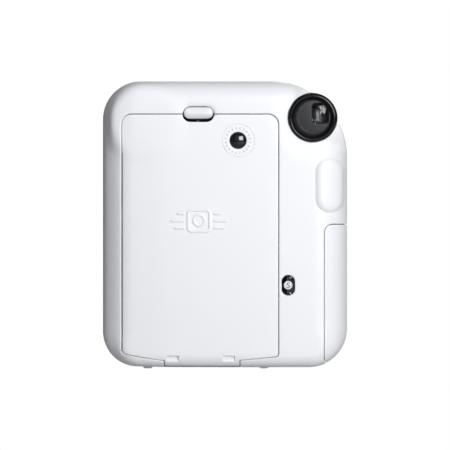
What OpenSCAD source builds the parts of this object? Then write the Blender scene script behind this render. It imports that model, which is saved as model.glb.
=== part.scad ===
// Instant film camera for credit-card-size prints: pocket body with a twist-out lens, a bottom-hinged
// film door, a side battery door, a flash, a viewfinder and a motor-driven roller pair.
// X runs to the user's right, Y forward along the lens axis and Z up. The feet stand on Z = 0.

/* [Body] */
// Width of the body
body_w = 104; // [100:0.5:108]
// Height from the feet to the top
total_h = 122; // [118:0.5:126]
// Y of the flat back face
back_y = -32; // [-33:0.1:-31]
// Y of the flat front face
front_y = 13; // [12:0.1:14]
// Y of the joint between the two covers
part_y = -6; // [-8:0.5:-4]
// Thickness of the moulded walls
wall = 2; // [1.6:0.1:2.4]
// How far the feet stand out of the bottom
foot_h = 0.8; // [0.5:0.1:1.2]
// Gap round each door and button
seam = 0.3; // [0.2:0.05:0.4]

/* [Film door] */
// Left edge of the film door
door_left = -44.1; // [-44.6:0.1:-43.6]
// Right edge of the film door
door_right = 22.6; // [22:0.1:23]
// Top edge of the film door
door_top = 107.8; // [107:0.1:108.5]
// Left end of the hinge tab
tab_left = -25.6; // [-27:0.1:-24]
// Right end of the hinge tab
tab_right = 6.2; // [5:0.1:7]
// Travel of the latch button
latch_travel = 1.1; // [0.8:0.1:1.2]

/* [Film] */
// Width of the film pack's space
pack_w = 60; // [59:0.5:60]
// Height of the film pack's space
pack_h = 93; // [91:0.5:93]
// Width of the picture
image_w = 46.5; // [46:0.5:47]
// Height of the picture
image_h = 62.5; // [62:0.5:63]
// Module of the drive gears
gear_m = 0.6; // [0.6:0.01:0.61]

/* [Lens] */
// X of the lens axis
lens_x = -10.8; // [-11.5:0.1:-10]
// Z of the lens axis
lens_z = 50; // [49:0.5:51]
// Outer radius of the turning ring
ring_r = 31.5; // [31:0.1:32]
// Outer radius of the sliding barrel
barrel_r = 25; // [24.8:0.1:25]
// Y of the barrel's front face when it is in
barrel_front = 33.3; // [33:0.1:33.5]

/* [Hidden] */
$fn = 64;
foot_z = foot_h;
side_x = body_w / 2;
eps = 0.01;

// corner radii of the body seen from behind: bottom left, bottom right, top right, top left
face_r = [15, 16.2, 32.5, 16.2];
// corner radii in plan: back left, back right, front right, front left
plan_r = [9, 14, 14, 14];
// corner radii in side view: back bottom, front bottom, front top, back top
side_r = [5, 9, 13, 9];

hinge_y = back_y + 2.9;
hinge_z = foot_z + 2.6;
hinge_pin_r = 0.8;

door_inner_y = back_y + wall;
pack_x = (door_left + door_right) / 2;
pack_z0 = 8.4;
gate_y = -16.2;
gate_t = 1.6;
chamber_t = 1.6;

window_x = 5.5;
window_z = 96.75;

latch_x = -11.3;
latch_z = 108.4;

eye_x = 37.1;
eye_z = 106.4;
eye_r = 10.6;
tunnel_x = 38.4;
tunnel_z = 106.8;

counter_x = 26.8;
counter_z = 35.4;
dial_x = 33.1;

bat_left = 42.2;
bat_top = 61.1;
bat_bottom = 2.5;
bat_front = 1;
bat_pin = [side_x - 1.2, bat_front];
bat_pin_r = 0.5;
bat_pin_z = [15.2, 63.5];
cell_x = 34.8;
cell_r = 7.2;
cell_y = [-20.6, -5.4];
cell_z0 = 7.2;
cell_h = 50.5;
box_back = -28.6;

// drive train, all in planes across X
roller_z = 110;
film_y = -17;
roller_teeth = 10;
idler_teeth = 28;
roller_pitch = gear_m * roller_teeth / 2;
idler_pitch = gear_m * idler_teeth / 2;
rear_axis = [film_y - roller_pitch, roller_z];
front_axis = [film_y + roller_pitch, roller_z];
motor_axis = [-6.5, 94];
mesh_d = roller_pitch + idler_pitch;
axis_gap = motor_axis - rear_axis;
axis_dist = norm(axis_gap);
idler_off = sqrt(mesh_d * mesh_d - axis_dist * axis_dist / 4);
idler_axis = (motor_axis + rear_axis) / 2 - idler_off * [-axis_gap[1], axis_gap[0]] / axis_dist;
outer_plane = [-47.2, -45.6];
inner_plane = [-45.2, -43.4];

function bearing(a, b) = atan2(b[1] - a[1], b[0] - a[0]);
// phase that puts gear b's gap on gear a's tooth
function meshed(phase, na, nb, a, b) =
    bearing(a, b) + 180 - (na / nb) * (phase - bearing(a, b)) - 180 / nb;
rear_phase = 0;
front_phase = meshed(rear_phase, roller_teeth, roller_teeth, rear_axis, front_axis);
idler_phase = meshed(rear_phase, roller_teeth, idler_teeth, rear_axis, idler_axis);
pinion_phase = meshed(idler_phase, idler_teeth, roller_teeth, idler_axis, motor_axis);

button_x = 35.5;
button_z = 74;
button_r = 6.6;
board_y = 3;
board_t = 1.2;

flash_x = -31;
flash_z = 101;
shutter_y = 21.7;
blade_arm = 11;
mirror_x = lens_x + 15.5;
mirror_z = lens_z + 9.5;
mirror_r = 4.2;
strap_z = 80;
strap_y = 1;
boss_at = [[-39, 11], [17, 11], [-39, 84], [17, 90]];
foot_x = [-32.8, 16.6];
foot_y = [-24, 3];

// ---- placing ----

// flat shape in X and Z, extruded from y0 to y1
module along_y(y0, y1) translate([0, y1, 0]) rotate([90, 0, 0]) linear_extrude(y1 - y0) children();
// flat shape in Y and Z, extruded from x0 to x1
module along_x(x0, x1) translate([x0, 0, 0]) rotate([90, 0, 90]) linear_extrude(x1 - x0) children();
module along_z(z0, z1) translate([0, 0, z0]) linear_extrude(z1 - z0) children();
module cyl_y(x, z, y0, y1, r) translate([x, y0, z]) rotate([-90, 0, 0]) cylinder(r = r, h = y1 - y0);
module cone_y(x, z, y0, y1, r0, r1)
    translate([x, y0, z]) rotate([-90, 0, 0]) cylinder(r1 = r0, r2 = r1, h = y1 - y0);
module cyl_x(y, z, x0, x1, r) translate([x0, y, z]) rotate([0, 90, 0]) cylinder(r = r, h = x1 - x0);
// solid turned about an axis along X, from a list of [x, radius]
module turned_x(y, z, steps) translate([0, y, z]) rotate([0, 90, 0]) rotate_extrude()
    polygon(concat([[0, steps[0][0]]], [for (s = steps) [s[1], s[0]]], [[0, steps[len(steps) - 1][0]]]));
module block(x, y, z) translate([x[0], y[0], z[0]]) cube([x[1] - x[0], y[1] - y[0], z[1] - z[0]]);
module tube_y(x, z, y0, y1, ro, ri) difference() {
    cyl_y(x, z, y0, y1, ro);
    cyl_y(x, z, y0 - 1, y1 + 1, ri);
}

// ---- flat shapes ----

// one corner of a square taken off, so that a radius is left
module corner_off(p, sx, sy, r) translate(p) difference() {
    translate([sx > 0 ? -r : -1, sy > 0 ? -r : -1]) square(r + 1);
    translate([-sx * r, -sy * r]) circle(r);
}

// rectangle with its own radius at each corner, from low left round to high left
module rounded(lo, hi, r) difference() {
    translate(lo) square(hi - lo);
    if (r[0] > 0) corner_off(lo, -1, -1, r[0]);
    if (r[1] > 0) corner_off([hi[0], lo[1]], 1, -1, r[1]);
    if (r[2] > 0) corner_off(hi, 1, 1, r[2]);
    if (r[3] > 0) corner_off([lo[0], hi[1]], -1, 1, r[3]);
}

module pill(x, z, w, h) {
    r = min(w, h) / 2;
    translate([x, z]) {
        square([w > h ? w - 2 * r : w, w > h ? h : h - 2 * r], center = true);
        for (s = [-1, 1]) translate(w > h ? [s * (w / 2 - r), 0] : [0, s * (h / 2 - r)]) circle(r);
    }
}

module round_rect(x, z, w, h, r) rounded([x - w / 2, z - h / 2], [x + w / 2, z + h / 2], [r, r, r, r]);

// film door's outline seen from behind, grown by g
module door_outline(g) {
    mid = pack_x;
    rounded([door_left - g, 5.9 - g], [mid, door_top + g], [5 + g, 0, 0, 4.5 + g]);
    rounded([mid - 1, 5 - g], [door_right + g, door_top + g], [0, 4.5 + g, 4.5 + g, 0]);
    polygon([[door_left + 5, 5.9 - g], [tab_left, 3.6 - g], [tab_right, 3.8 - g],
        [door_right - 4.5, 5 - g], [door_right - 4.5, 9], [door_left + 5, 9]]);
}

// battery door's outline seen from behind, grown by g
module battery_outline(g)
    rounded([bat_left - g, bat_bottom - g], [side_x + 2, bat_top + g], [3.4 + g, 0, 0, 3.4 + g]);

// ---- the body's outside, drawn in by e ----

module body_form(e) intersection() {
    along_y(back_y + e, front_y - e)
        rounded([-side_x + e, foot_z + e], [side_x - e, total_h - e], [for (r = face_r) r - e]);
    along_z(foot_z, total_h)
        rounded([-side_x + e, back_y + e], [side_x - e, front_y - e], [for (r = plan_r) r - e]);
    along_x(-side_x, side_x)
        rounded([back_y + e, foot_z + e], [front_y - e, total_h - e], [for (r = side_r) r - e]);
}

// skin of the body from depth e0 to depth e1
module skin(e0, e1) difference() {
    body_form(e0);
    body_form(e1);
}

module thumb_rest() translate([41.7, -24.8, 77.9]) {
    translate([0, 0, -5]) cylinder(r = 7.7, h = 10);
    for (s = [-1, 1]) translate([0, 0, 5 * s]) sphere(7.7);
}

// shoulder that carries the eyepiece where it stands out of the corner
module eyepiece_shoulder() difference() {
    translate([eye_x, -19, eye_z]) sphere(10.4);
    translate([eye_x, -19, eye_z]) sphere(8.6);
    body_form(wall);
}

module battery_cut(g) intersection() {
    along_y(back_y - 2, bat_front + g) battery_outline(g);
    along_x(bat_left - 4, side_x + 2)
        rounded([back_y - 4, bat_bottom - g], [bat_front + g, bat_top + g], [0, 3.4 + g, 3.4 + g, 0]);
}

// pocket in a side wall for the wrist strap's bar; s is -1 for the left side
module strap_pocket(s, g) {
    x = s > 0 ? [side_x - 3.6 - g, side_x + 1] : [-side_x - 1, -side_x + 3.6 + g];
    block(x, [strap_y - 4 - g, strap_y + 4 + g], [strap_z - 3.2 - g, strap_z + 3.2 + g]);
}

// ---- covers ----

module rear_cover() color("white") difference() {
    union() {
        intersection() {
            union() {
                skin(0, wall);
                difference() {
                    thumb_rest();
                    body_form(wall);
                }
                eyepiece_shoulder();
            }
            block([-60, 60], [-40, part_y], [0, 130]);
        }
        door_seat();
        hinge_ears();
    }
    along_y(back_y - 2, door_inner_y + 0.5) door_outline(seam);
    // room for the hinge tab, open downwards at the back
    block([tab_left - seam, tab_right + seam], [back_y - 2, hinge_y + 2.6], [1.3, 9]);
    block([tab_left - seam, tab_right + seam], [back_y - 2, hinge_y + 1.5], [0, 9]);
    cyl_y(eye_x, eye_z, back_y - 4, -20.4, eye_r + 0.15);
    block([tunnel_x - 3.6, tunnel_x + 3.6], [-22, part_y + 1], [tunnel_z - 4.4, tunnel_z + 4.4]);
    along_y(back_y - 2, back_y + 4) pill(counter_x, counter_z, 5.7, 8.7);
    along_y(back_y - 2, door_inner_y + 0.4) pill(latch_x, 107.9, 13.4, 6.6);
    battery_cut(seam);
    block([pack_x - 29.2, pack_x + 29.2], [film_y - 3.4, film_y + 3.4], [115, 123]);
    cyl_x(hinge_y, hinge_z, tab_left - 8, tab_right + 8, hinge_pin_r);
}

// lip behind the film door's edge, which the door closes onto
module door_seat() difference() {
    intersection() {
        along_y(door_inner_y - 0.2, door_inner_y + 3) door_outline(1.6);
        block([-60, 60], [-40, 0], [11, 118]);
        body_form(wall - 0.5);
    }
    along_y(door_inner_y - 1, door_inner_y + 4)
        rounded([door_left + 1.5, 0], [door_right - 1.5, door_top - 3], [0, 0, 2, 2]);
    block([latch_x - 8, latch_x + 8], [-40, 0], [100, 120]);
}

module hinge_ears() for (x = [[tab_left - 5.5, tab_left - seam], [tab_right + seam, tab_right + 5.5]])
    intersection() {
        union() {
            cyl_x(hinge_y, hinge_z, x[0], x[1], 1.9);
            block(x, [hinge_y - 1.4, hinge_y + 3], [foot_z + 0.4, hinge_z + 0.2]);
        }
        body_form(0.05);
    }

module front_cover() color("white") difference() {
    union() {
        intersection() {
            skin(0, wall);
            block([-60, 60], [part_y, 20], [0, 130]);
        }
        cone_y(lens_x, lens_z, front_y - wall, 20, 36.5, 33);
        for (p = boss_at) cyl_y(p[0], p[1], gate_y + gate_t + 0.2, front_y - 1, 2.4);
        for (s = [-1, 1]) intersection() {
            strap_pocket(s, 1.2);
            body_form(wall / 2);
        }
    }
    cyl_y(lens_x, lens_z, front_y - wall - 1, 21, 27.5);
    cyl_y(lens_x, lens_z, 18.6, 21, ring_r + 0.4);
    along_y(0, front_y + 2) round_rect(flash_x, flash_z, 26.3, 20.3, 8.15);
    cyl_y(eye_x, eye_z, 2.6, front_y + 2, 9.85);
    cyl_y(button_x, button_z, 0, front_y + 2, 7);
    cyl_y(button_x, button_z, front_y - 1.4, front_y + 2, 8.8);
    for (x = [-3, 6]) along_y(8, front_y + 2) pill(x, 104, 5.2, 3.8);
    battery_cut(seam);
    // room for the battery door's knuckle, for its outer edge as it swings, and for the top of its pin
    translate([bat_pin[0], bat_pin[1], 10.3]) cylinder(r = 1.5, h = bat_top + seam - 10.3);
    translate([bat_pin[0], bat_pin[1], bat_top - 1]) cylinder(r = bat_pin_r + 0.05, h = 3.6);
    for (s = [-1, 1]) strap_pocket(s, 0);
    for (p = boss_at) cyl_y(p[0], p[1], gate_y, -4, 1);
    for (s = [-1, 1]) translate([s * (side_x - 1.9), 0, strap_z])
        rotate([-90, 0, 0]) translate([0, 0, strap_y - 4.8]) cylinder(r = 0.9, h = 9.6);
    block([tunnel_x - 3.6, tunnel_x + 3.6], [part_y - 1, 8], [tunnel_z - 4.4, tunnel_z + 4.4]);
}

// ---- film door ----

module film_door() color("white") difference() {
    union() {
        intersection() {
            skin(0, wall);
            union() {
                along_y(back_y - 1, door_inner_y + 0.1) door_outline(0);
                block([tab_left, tab_right], [back_y - 1, hinge_y + 1.4], [hinge_z - 1.7, 9]);
            }
        }
        cyl_x(hinge_y, hinge_z, tab_left, tab_right, 1.75);
        block([tab_left, tab_right], [hinge_y - 2, hinge_y - 0.9], [hinge_z, 7]);
        // ledge under the latch spring
        block([latch_x - 1.2, latch_x + 1.2], [door_inner_y - 0.5, door_inner_y + 1.7], [103.15, 103.5]);
        // stiffening rim, clear of the seat lip
        difference() {
            along_y(door_inner_y - 0.2, door_inner_y + 0.35)
                rounded([door_left + 3, 14], [door_right - 3, door_top - 17], [3, 3, 3, 3]);
            along_y(door_inner_y - 1, door_inner_y + 1)
                rounded([door_left + 4.2, 15.2], [door_right - 4.2, door_top - 18.2], [2, 2, 2, 2]);
        }
    }
    cyl_x(hinge_y, hinge_z, tab_left - 1, tab_right + 1, hinge_pin_r + 0.05);
    // lower edge hollowed round the hinge axis, so that it swings past the rear cover
    turned_x(hinge_y, hinge_z, [[-44.6, 8.2], [-44.1, 7.2], [-43.5, 5.65], [-42, 4.35], [-39.1, 3.9],
        [tab_left, 2.45]]);
    turned_x(hinge_y, hinge_z, [[tab_right, 2.55], [18.1, 3.2], [20, 3.45], [21.5, 4.12], [22.3, 5.05],
        [23.1, 6.6]]);
    cyl_y(window_x, window_z, back_y - 1, -28, 3.6);
    difference() {
        cyl_y(window_x, window_z, back_y - 1, back_y + 0.25, 7.05);
        cyl_y(window_x, window_z, back_y - 2, back_y + 1, 6.7);
    }
    along_y(back_y - 1, -28) pill(latch_x, 107.9, 13.4, 6.6);
    for (x = [-21.5, 2.3]) along_y(back_y - 1, back_y + 1) round_rect(x, 4.9, 3.6, 2.1, 0.7);
}

module door_hinge_pin() color("silver") cyl_x(hinge_y, hinge_z, tab_left - 5, tab_right + 5, hinge_pin_r);

module latch_button() color("white") {
    intersection() {
        along_y(back_y - 0.6, door_inner_y + 0.4) pill(latch_x, latch_z, 12.5, 5);
        // crowned across its height
        cyl_x(back_y + 5.2, latch_z, latch_x - 8, latch_x + 8, 5.8);
    }
    block([latch_x - 2, latch_x + 2], [door_inner_y - 0.5, door_inner_y + 0.8], [106.6, 107.6]);
    block([latch_x - 6.4, latch_x + 6.4], [door_inner_y + 0.4, door_inner_y + 1.2], [105.4, 107.6]);
    for (s = [-1, 1]) block([latch_x + s * 4 - 1.2, latch_x + s * 4 + 1.2],
        [door_inner_y + 0.4, door_inner_y + 1.2], [107.5, 109.6]);
}

// round wire wound on a straight axis, as one closed tube: from p0, along dir, up to length len
module coil(p0, axis, len, r, wire_r, turns) {
    steps = 14;
    sides = 6;
    rings = turns * steps;
    u = axis == "y" ? [1, 0, 0] : [0, 1, 0];
    w = axis == "y" ? [0, 0, 1] : (axis == "x" ? [0, 0, 1] : [1, 0, 0]);
    d = axis == "y" ? [0, 1, 0] : (axis == "x" ? [1, 0, 0] : [0, 0, 1]);
    pts = [for (i = [0 : rings]) let (a = 360 * i / steps, o = u * cos(a) + w * sin(a))
        for (k = [0 : sides - 1]) let (b = 360 * k / sides)
            p0 + d * (len * i / rings + wire_r * sin(b)) + o * (r + wire_r * cos(b))];
    skin_faces = [for (i = [0 : rings - 1]) for (k = [0 : sides - 1]) let (n = (k + 1) % sides)
        [i * sides + k, i * sides + n, (i + 1) * sides + n, (i + 1) * sides + k]];
    turned = cross(u, d) * w > 0;
    start = [for (k = [0 : sides - 1]) sides - 1 - k];
    end = [for (k = [0 : sides - 1]) rings * sides + k];
    faces = concat(skin_faces, [start], [end]);
    polyhedron(pts, turned ? [for (f = faces) [for (k = [len(f) - 1 : -1 : 0]) f[k]]] : faces);
}

module latch_spring() color("silver")
    coil([latch_x, door_inner_y + 0.95, 103.65], "z", 1.6, 0.7, 0.12, 3);

module film_window() color([0.1, 0.1, 0.12]) {
    cyl_y(window_x, window_z, back_y + 0.3, door_inner_y + 0.05, 3.5);
    intersection() {
        translate([window_x, back_y + 11.4, window_z]) sphere(11.6);
        cyl_y(window_x, window_z, back_y - 0.3, back_y + 0.4, 3.5);
    }
    cyl_y(window_x, window_z, door_inner_y + 0.02, door_inner_y + 0.5, 4.6);
}

// two bowed leaves that press the film pack forward
module pressure_springs() color("silver") for (x = [pack_x - 17, pack_x + 17]) {
    bow_r = 80;
    intersection() {
        difference() {
            cyl_x(door_inner_y + 1.5 - bow_r, 52, x - 4, x + 4, bow_r, $fn = 360);
            cyl_x(door_inner_y + 1.5 - bow_r, 52, x - 5, x + 5, bow_r - 0.25, $fn = 360);
        }
        block([x - 6, x + 6], [door_inner_y + 0.02, door_inner_y + 2], [30, 74]);
    }
}

module door_light_seal() color([0.12, 0.12, 0.12]) difference() {
    along_y(door_inner_y + 0.02, door_inner_y + 0.42)
        rounded([door_left + 0.4, 12], [door_right - 0.4, door_top - 4.9], [3, 3, 3, 3]);
    along_y(door_inner_y - 1, door_inner_y + 1)
        rounded([door_left + 1.9, 13.4], [door_right - 1.9, door_top - 6.2], [2, 2, 2, 2]);
}

// ---- viewfinder ----

module eye_opening(g) round_rect(eye_x + 3.3, eye_z + 1.9, 6.9 + g, 8.5 + g, 1.4);

module eyepiece_bezel() color([0.1, 0.1, 0.1]) difference() {
    translate([eye_x, -20.5, eye_z]) rotate([90, 0, 0]) rotate_extrude() polygon([[0, 0], [eye_r, 0],
        [eye_r, 11.9], [eye_r - 0.9, 12.8], [eye_r - 1.7, 12.5], [7.8, 11], [0, 11]]);
    along_y(-34, -27) eye_opening(0);
    along_y(-28, -19) round_rect(tunnel_x, tunnel_z, 5.6, 7.2, 0.8);
}

module eyepiece_lens() color([0.7, 0.8, 0.85, 0.5]) intersection() {
    along_y(-29.6, -27.02) round_rect(eye_x + 3.3, eye_z + 1.9, 6.86, 8.46, 1.4);
    translate([eye_x + 2.6, -15, eye_z + 1.6]) sphere(14.4);
}

module viewfinder_tube() color([0.12, 0.12, 0.12]) difference() {
    intersection() {
        block([tunnel_x - 3.5, tunnel_x + 3.5], [-20.45, 2.5], [tunnel_z - 4.3, tunnel_z + 4.3]);
        body_form(0.5);
    }
    along_y(-21, 3) round_rect(tunnel_x, tunnel_z, 5.6, 7.2, 0.8);
}

module parallax_frame() color([0.2, 0.2, 0.2]) difference() {
    along_y(-2, -1.5) round_rect(tunnel_x, tunnel_z + 0.6, 5.3, 5.6, 0.6);
    along_y(-3, 0) round_rect(tunnel_x, tunnel_z + 0.6, 4.1, 4.4, 0.4);
}

module viewfinder_front_bezel() color([0.1, 0.1, 0.1]) difference() {
    translate([eye_x, 2.7, eye_z]) rotate([-90, 0, 0]) rotate_extrude() polygon([[0, 0], [9.7, 0],
        [9.7, 10.2], [9, 10.9], [8.3, 10.5], [7.9, 9.9], [0, 9.9]]);
    along_y(2, 9) round_rect(tunnel_x, tunnel_z, 5.6, 7.2, 0.8);
    along_y(8, 14) round_rect(eye_x, eye_z, 9.4, 7.6, 1.4);
}

module viewfinder_front_lens() color([0.7, 0.8, 0.85, 0.5]) intersection() {
    along_y(8.02, 11.8) round_rect(eye_x, eye_z, 9.36, 7.56, 1.4);
    translate([eye_x, -8.6, eye_z]) sphere(20);
}

// ---- film counter ----

module counter_window() color([0.8, 0.85, 0.9, 0.4]) along_y(back_y + 0.35, back_y + 1.3)
    pill(counter_x, counter_z, 5.5, 8.5);

module counter_dial() color([0.1, 0.1, 0.1]) difference() {
    union() {
        cyl_y(dial_x, counter_z, -29.45, -28.9, 7.4);
        cyl_y(dial_x, counter_z, -29.45, -28.8, 2.2);
    }
    cyl_y(dial_x, counter_z, -31, -28, 1.05);
}

// ---- battery compartment ----

module battery_door() color("white") union() {
    difference() {
        union() {
            intersection() {
                skin(0, wall);
                battery_cut(0);
            }
            translate([bat_pin[0], bat_pin[1], 15.3]) cylinder(r = 1.1, h = bat_top - 15.3);
        }
        // ridges for the thumb
        for (k = [0 : 2]) cyl_y(side_x + 0.55, 53 - 2.4 * k, -22, -6, 0.8);
        translate([bat_pin[0], bat_pin[1], bat_pin_z[0] - 0.1]) cylinder(r = bat_pin_r, h = 60);
    }
    translate([side_x - 0.35, -14, 56.4]) rotate([90, 0, 0]) cylinder(r = 0.35, h = 4, center = true);
    // pads that hold the cells in
    for (y = cell_y) block([cell_x + cell_r + 4.2, side_x - wall + 0.2], [y - 2, y + 2], [24, 40]);
}

module battery_door_pin() color("silver")
    translate([bat_pin[0], bat_pin[1], bat_pin_z[0]]) cylinder(r = bat_pin_r, h = bat_pin_z[1] - bat_pin_z[0]);

module battery_box() color([0.2, 0.2, 0.2]) union() {
    difference() {
        intersection() {
            block([cell_x - cell_r - 1.6, 42], [box_back, 3], [3.6, 60.4]);
            body_form(wall + 0.15);
        }
        block([cell_x - cell_r - 0.3, 50], [box_back + 0.7, 2.1], [4.6, 59.4]);
    }
    // rib between the cells
    block([cell_x - cell_r - 0.4, cell_x - cell_r + 1.2],
        [(cell_y[0] + cell_y[1]) / 2 - 0.6, (cell_y[0] + cell_y[1]) / 2 + 0.6], [4.5, 59.5]);
    cyl_y(dial_x, counter_z, -29.75, box_back + 0.3, 1);
}

module battery_cells() color([0.25, 0.3, 0.35]) for (k = [0, 1]) {
    up = k == 0;
    translate([cell_x, cell_y[k], cell_z0]) {
        translate([0, 0, up ? 0 : 1]) cylinder(r = cell_r, h = cell_h - 1);
        translate([0, 0, up ? cell_h - 1.2 : 0]) cylinder(r = 2.7, h = 1.2);
    }
}

module battery_contacts() color("silver") {
    for (y = cell_y) block([cell_x - 4.5, cell_x + 4.5], [y - 4.5, y + 4.5],
        [cell_z0 + cell_h + 0.02, cell_z0 + cell_h + 0.4]);
    block([cell_x - 4, cell_x + 4], [cell_y[0] - 5, cell_y[1] + 5], [4.65, 4.95]);
    // springs under the cells
    for (y = cell_y) coil([cell_x, y, 5.2], "z", 1.7, 3, 0.22, 3);
}

// ---- film chamber and light path ----

module film_chamber() color([0.14, 0.14, 0.14]) difference() {
    union() {
        block([pack_x - pack_w / 2 - chamber_t, pack_x + pack_w / 2 + chamber_t],
            [-29.4, gate_y + gate_t], [pack_z0 - chamber_t, pack_z0 + pack_h + chamber_t]);
        // plate that carries the motor and the idler
        block([pack_x - pack_w / 2 - chamber_t, pack_x - pack_w / 2], [gate_y, 0], [86.8, 101.6]);
        cyl_x(idler_axis[0], idler_axis[1], -47.7, pack_x - pack_w / 2 - 0.5, 1);
        // guides of the film claw
        for (z = [30, 50]) block([pack_x + pack_w / 2, pack_x + pack_w / 2 + 4], [-21, -13.4], [z, z + 3]);
        // feet that rest on the bottom
        for (x = [-38, 14]) block([x, x + 4], [-20, gate_y + gate_t], [foot_z + wall + 0.05, pack_z0]);
    }
    block([pack_x - pack_w / 2, pack_x + pack_w / 2], [-31, gate_y], [pack_z0, pack_z0 + pack_h]);
    block([lens_x - image_w / 2, lens_x + image_w / 2], [-18, -13],
        [lens_z - image_h / 2, lens_z + image_h / 2]);
    // way out for the print
    block([pack_x - 28, pack_x + 28], [film_y - 1.6, gate_y - 0.01], [100, 104]);
    // slot of the claw's hook
    block([pack_x + pack_w / 2 - 1, pack_x + pack_w / 2 + 2], [-19.6, -17], [pack_z0, 20]);
    for (z = [30, 50]) block([21.1, 22.5], [-20.3, -13.7], [z - 1, z + 4]);
    cyl_x(motor_axis[0], motor_axis[1], -44, -40, 2.2);
    for (p = boss_at) {
        cyl_y(p[0], p[1], -17, -13, 1.1);
        cone_y(p[0], p[1], gate_y - 0.01, gate_y + 1, 2.1, 1.1);
    }
}

module frustum(y0, y1, w0, h0, w1, h1) hull() {
    translate([lens_x, y0, lens_z]) cube([w0, eps, h0], center = true);
    translate([lens_x, y1, lens_z]) cube([w1, eps, h1], center = true);
}

module light_tunnel() color([0.1, 0.1, 0.1]) difference() {
    union() {
        frustum(gate_y + gate_t + 0.05, 4, image_w + 3, image_h + 3, 34, 34);
        cyl_y(lens_x, lens_z, 3, 15.5, 16.4);
    }
    frustum(gate_y + gate_t - 0.05, 4.1, image_w + 0.4, image_h + 0.4, 31, 31);
    cyl_y(lens_x, lens_z, 3.5, 17, 15.2);
}

module film_claw() color("silver") {
    block([21.3, 22.2], [-20, -14], [9, 60]);
    block([18.3, 21.4], [-19.2, -17.4], [9, 10.2]);
}

module roller_bracket() color("silver") difference() {
    union() {
        for (x = [[-42.4, -41.4], [19.8, 20.8]]) block(x, [-24.4, -9.8], [103.4, 115]);
        block([-42.4, 20.8], [-24.4, -23.6], [103.4, 108]);
    }
    for (a = [rear_axis, front_axis]) cyl_x(a[0], a[1], -44, 22, 1.25);
}

module gear(teeth, x, phase, bore) {
    r = gear_m * teeth / 2;
    p = 360 / teeth;
    along_x(x[0], x[1]) difference() {
        polygon([for (k = [0 : teeth - 1]) let (a = k * p + phase)
            for (q = [[-0.30, r - 1.1 * gear_m], [-0.11, r + 0.85 * gear_m],
                [0.11, r + 0.85 * gear_m], [0.30, r - 1.1 * gear_m]])
                q[1] * [cos(a + q[0] * p), sin(a + q[0] * p)]]);
        if (bore > 0) circle(bore);
    }
}

module gear_at(axis, teeth, x, phase, bore) translate([0, axis[0], axis[1]]) gear(teeth, x, phase, bore);

module roller(axis, gear_x, phase) {
    cyl_x(axis[0], axis[1], pack_x - pack_w / 2 + 0.2, pack_x + pack_w / 2 - 0.2, roller_pitch - 0.15);
    cyl_x(axis[0], axis[1], gear_x[0], 21.2, 1.2);
    gear_at(axis, roller_teeth, gear_x, phase, 0);
}

module roller_rear() color("silver") roller(rear_axis, [outer_plane[0], inner_plane[1]], rear_phase);
module roller_front() color("silver") roller(front_axis, inner_plane, front_phase);

module idler_gear() color([0.9, 0.9, 0.85]) union() {
    gear_at(idler_axis, idler_teeth, outer_plane, idler_phase, 1.05);
    difference() {
        cyl_x(idler_axis[0], idler_axis[1], outer_plane[1] - 0.1, inner_plane[1], 2.2);
        cyl_x(idler_axis[0], idler_axis[1], outer_plane[1] - 1, inner_plane[1] + 1, 1.05);
    }
}

module motor_pinion() color("goldenrod") union() {
    gear_at(motor_axis, roller_teeth, outer_plane, pinion_phase, 0);
    cyl_x(motor_axis[0], motor_axis[1], outer_plane[0], -36, 0.75);
}

module drive_motor() color("silver") difference() {
    union() {
        cyl_x(motor_axis[0], motor_axis[1], pack_x - pack_w / 2 + 0.05, -19, 6);
        cyl_x(motor_axis[0], motor_axis[1], -42.3, -40, 2);
        cyl_x(motor_axis[0], motor_axis[1], -19.5, -18, 2.4);
    }
    cyl_x(motor_axis[0], motor_axis[1], -43, -35.5, 0.8);
}

module exit_slot_bezel() color([0.12, 0.12, 0.12]) difference() {
    block([pack_x - 29, pack_x + 29], [film_y - 3.2, film_y + 3.2], [116, 121.2]);
    block([pack_x - 27.7, pack_x + 27.7], [film_y - 2.2, film_y + 2.2], [115, 122]);
}

module exit_light_seal() color([0.2, 0.2, 0.2])
    block([pack_x - 27.5, pack_x + 27.5], [film_y + 3.3, film_y + 3.8], [113.5, 119.6]);

// ---- lens ----

module barrel_guide() color([0.15, 0.15, 0.15]) union() {
    tube_y(lens_x, lens_z, 4, 30, barrel_r + 2, barrel_r + 0.2);
    tube_y(lens_x, lens_z, front_y - wall - 1.8, front_y - wall - 0.25, 29, barrel_r + 1);
}

module lens_ring() color("white") difference() {
    translate([lens_x, 0, lens_z]) rotate([-90, 0, 0]) rotate_extrude() polygon([
        [barrel_r + 2.3, 18.9], [ring_r, 18.9], [ring_r, 29], [ring_r - 1.4, 31.4], [ring_r - 2.4, 32],
        [barrel_r + 0.6, 32], [barrel_r + 0.6, 30.6], [barrel_r + 2.3, 30.6]]);
    for (k = [0 : 23]) rotate_about_lens(15 * k) cyl_y(lens_x + ring_r + 1.1, lens_z, 20.5, 33, 1.6);
}

module rotate_about_lens(a)
    translate([lens_x, 0, lens_z]) rotate([0, a, 0]) translate([-lens_x, 0, -lens_z]) children();

module lens_barrel() color([0.15, 0.15, 0.15]) union() {
    tube_y(lens_x, lens_z, 5, 31, barrel_r, barrel_r - 1.8);
    tube_y(lens_x, lens_z, 20, 21.6, barrel_r - 1, 11.2);
}

module barrel_face() color("silver") difference() {
    translate([lens_x, 0, lens_z]) rotate([-90, 0, 0]) rotate_extrude() polygon([[9.2, 31.05],
        [barrel_r, 31.05], [barrel_r, 32.6], [barrel_r - 0.8, barrel_front], [19, barrel_front],
        [11, 32.1], [9.2, 32.1]]);
    cyl_y(mirror_x, mirror_z, 32, 34, mirror_r + 0.1);
}

module selfie_mirror() color("lightblue") intersection() {
    cyl_y(mirror_x, mirror_z, 32.02, 33.5, mirror_r);
    translate([mirror_x, 3.25, mirror_z]) sphere(29.9, $fn = 200);
}

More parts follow.
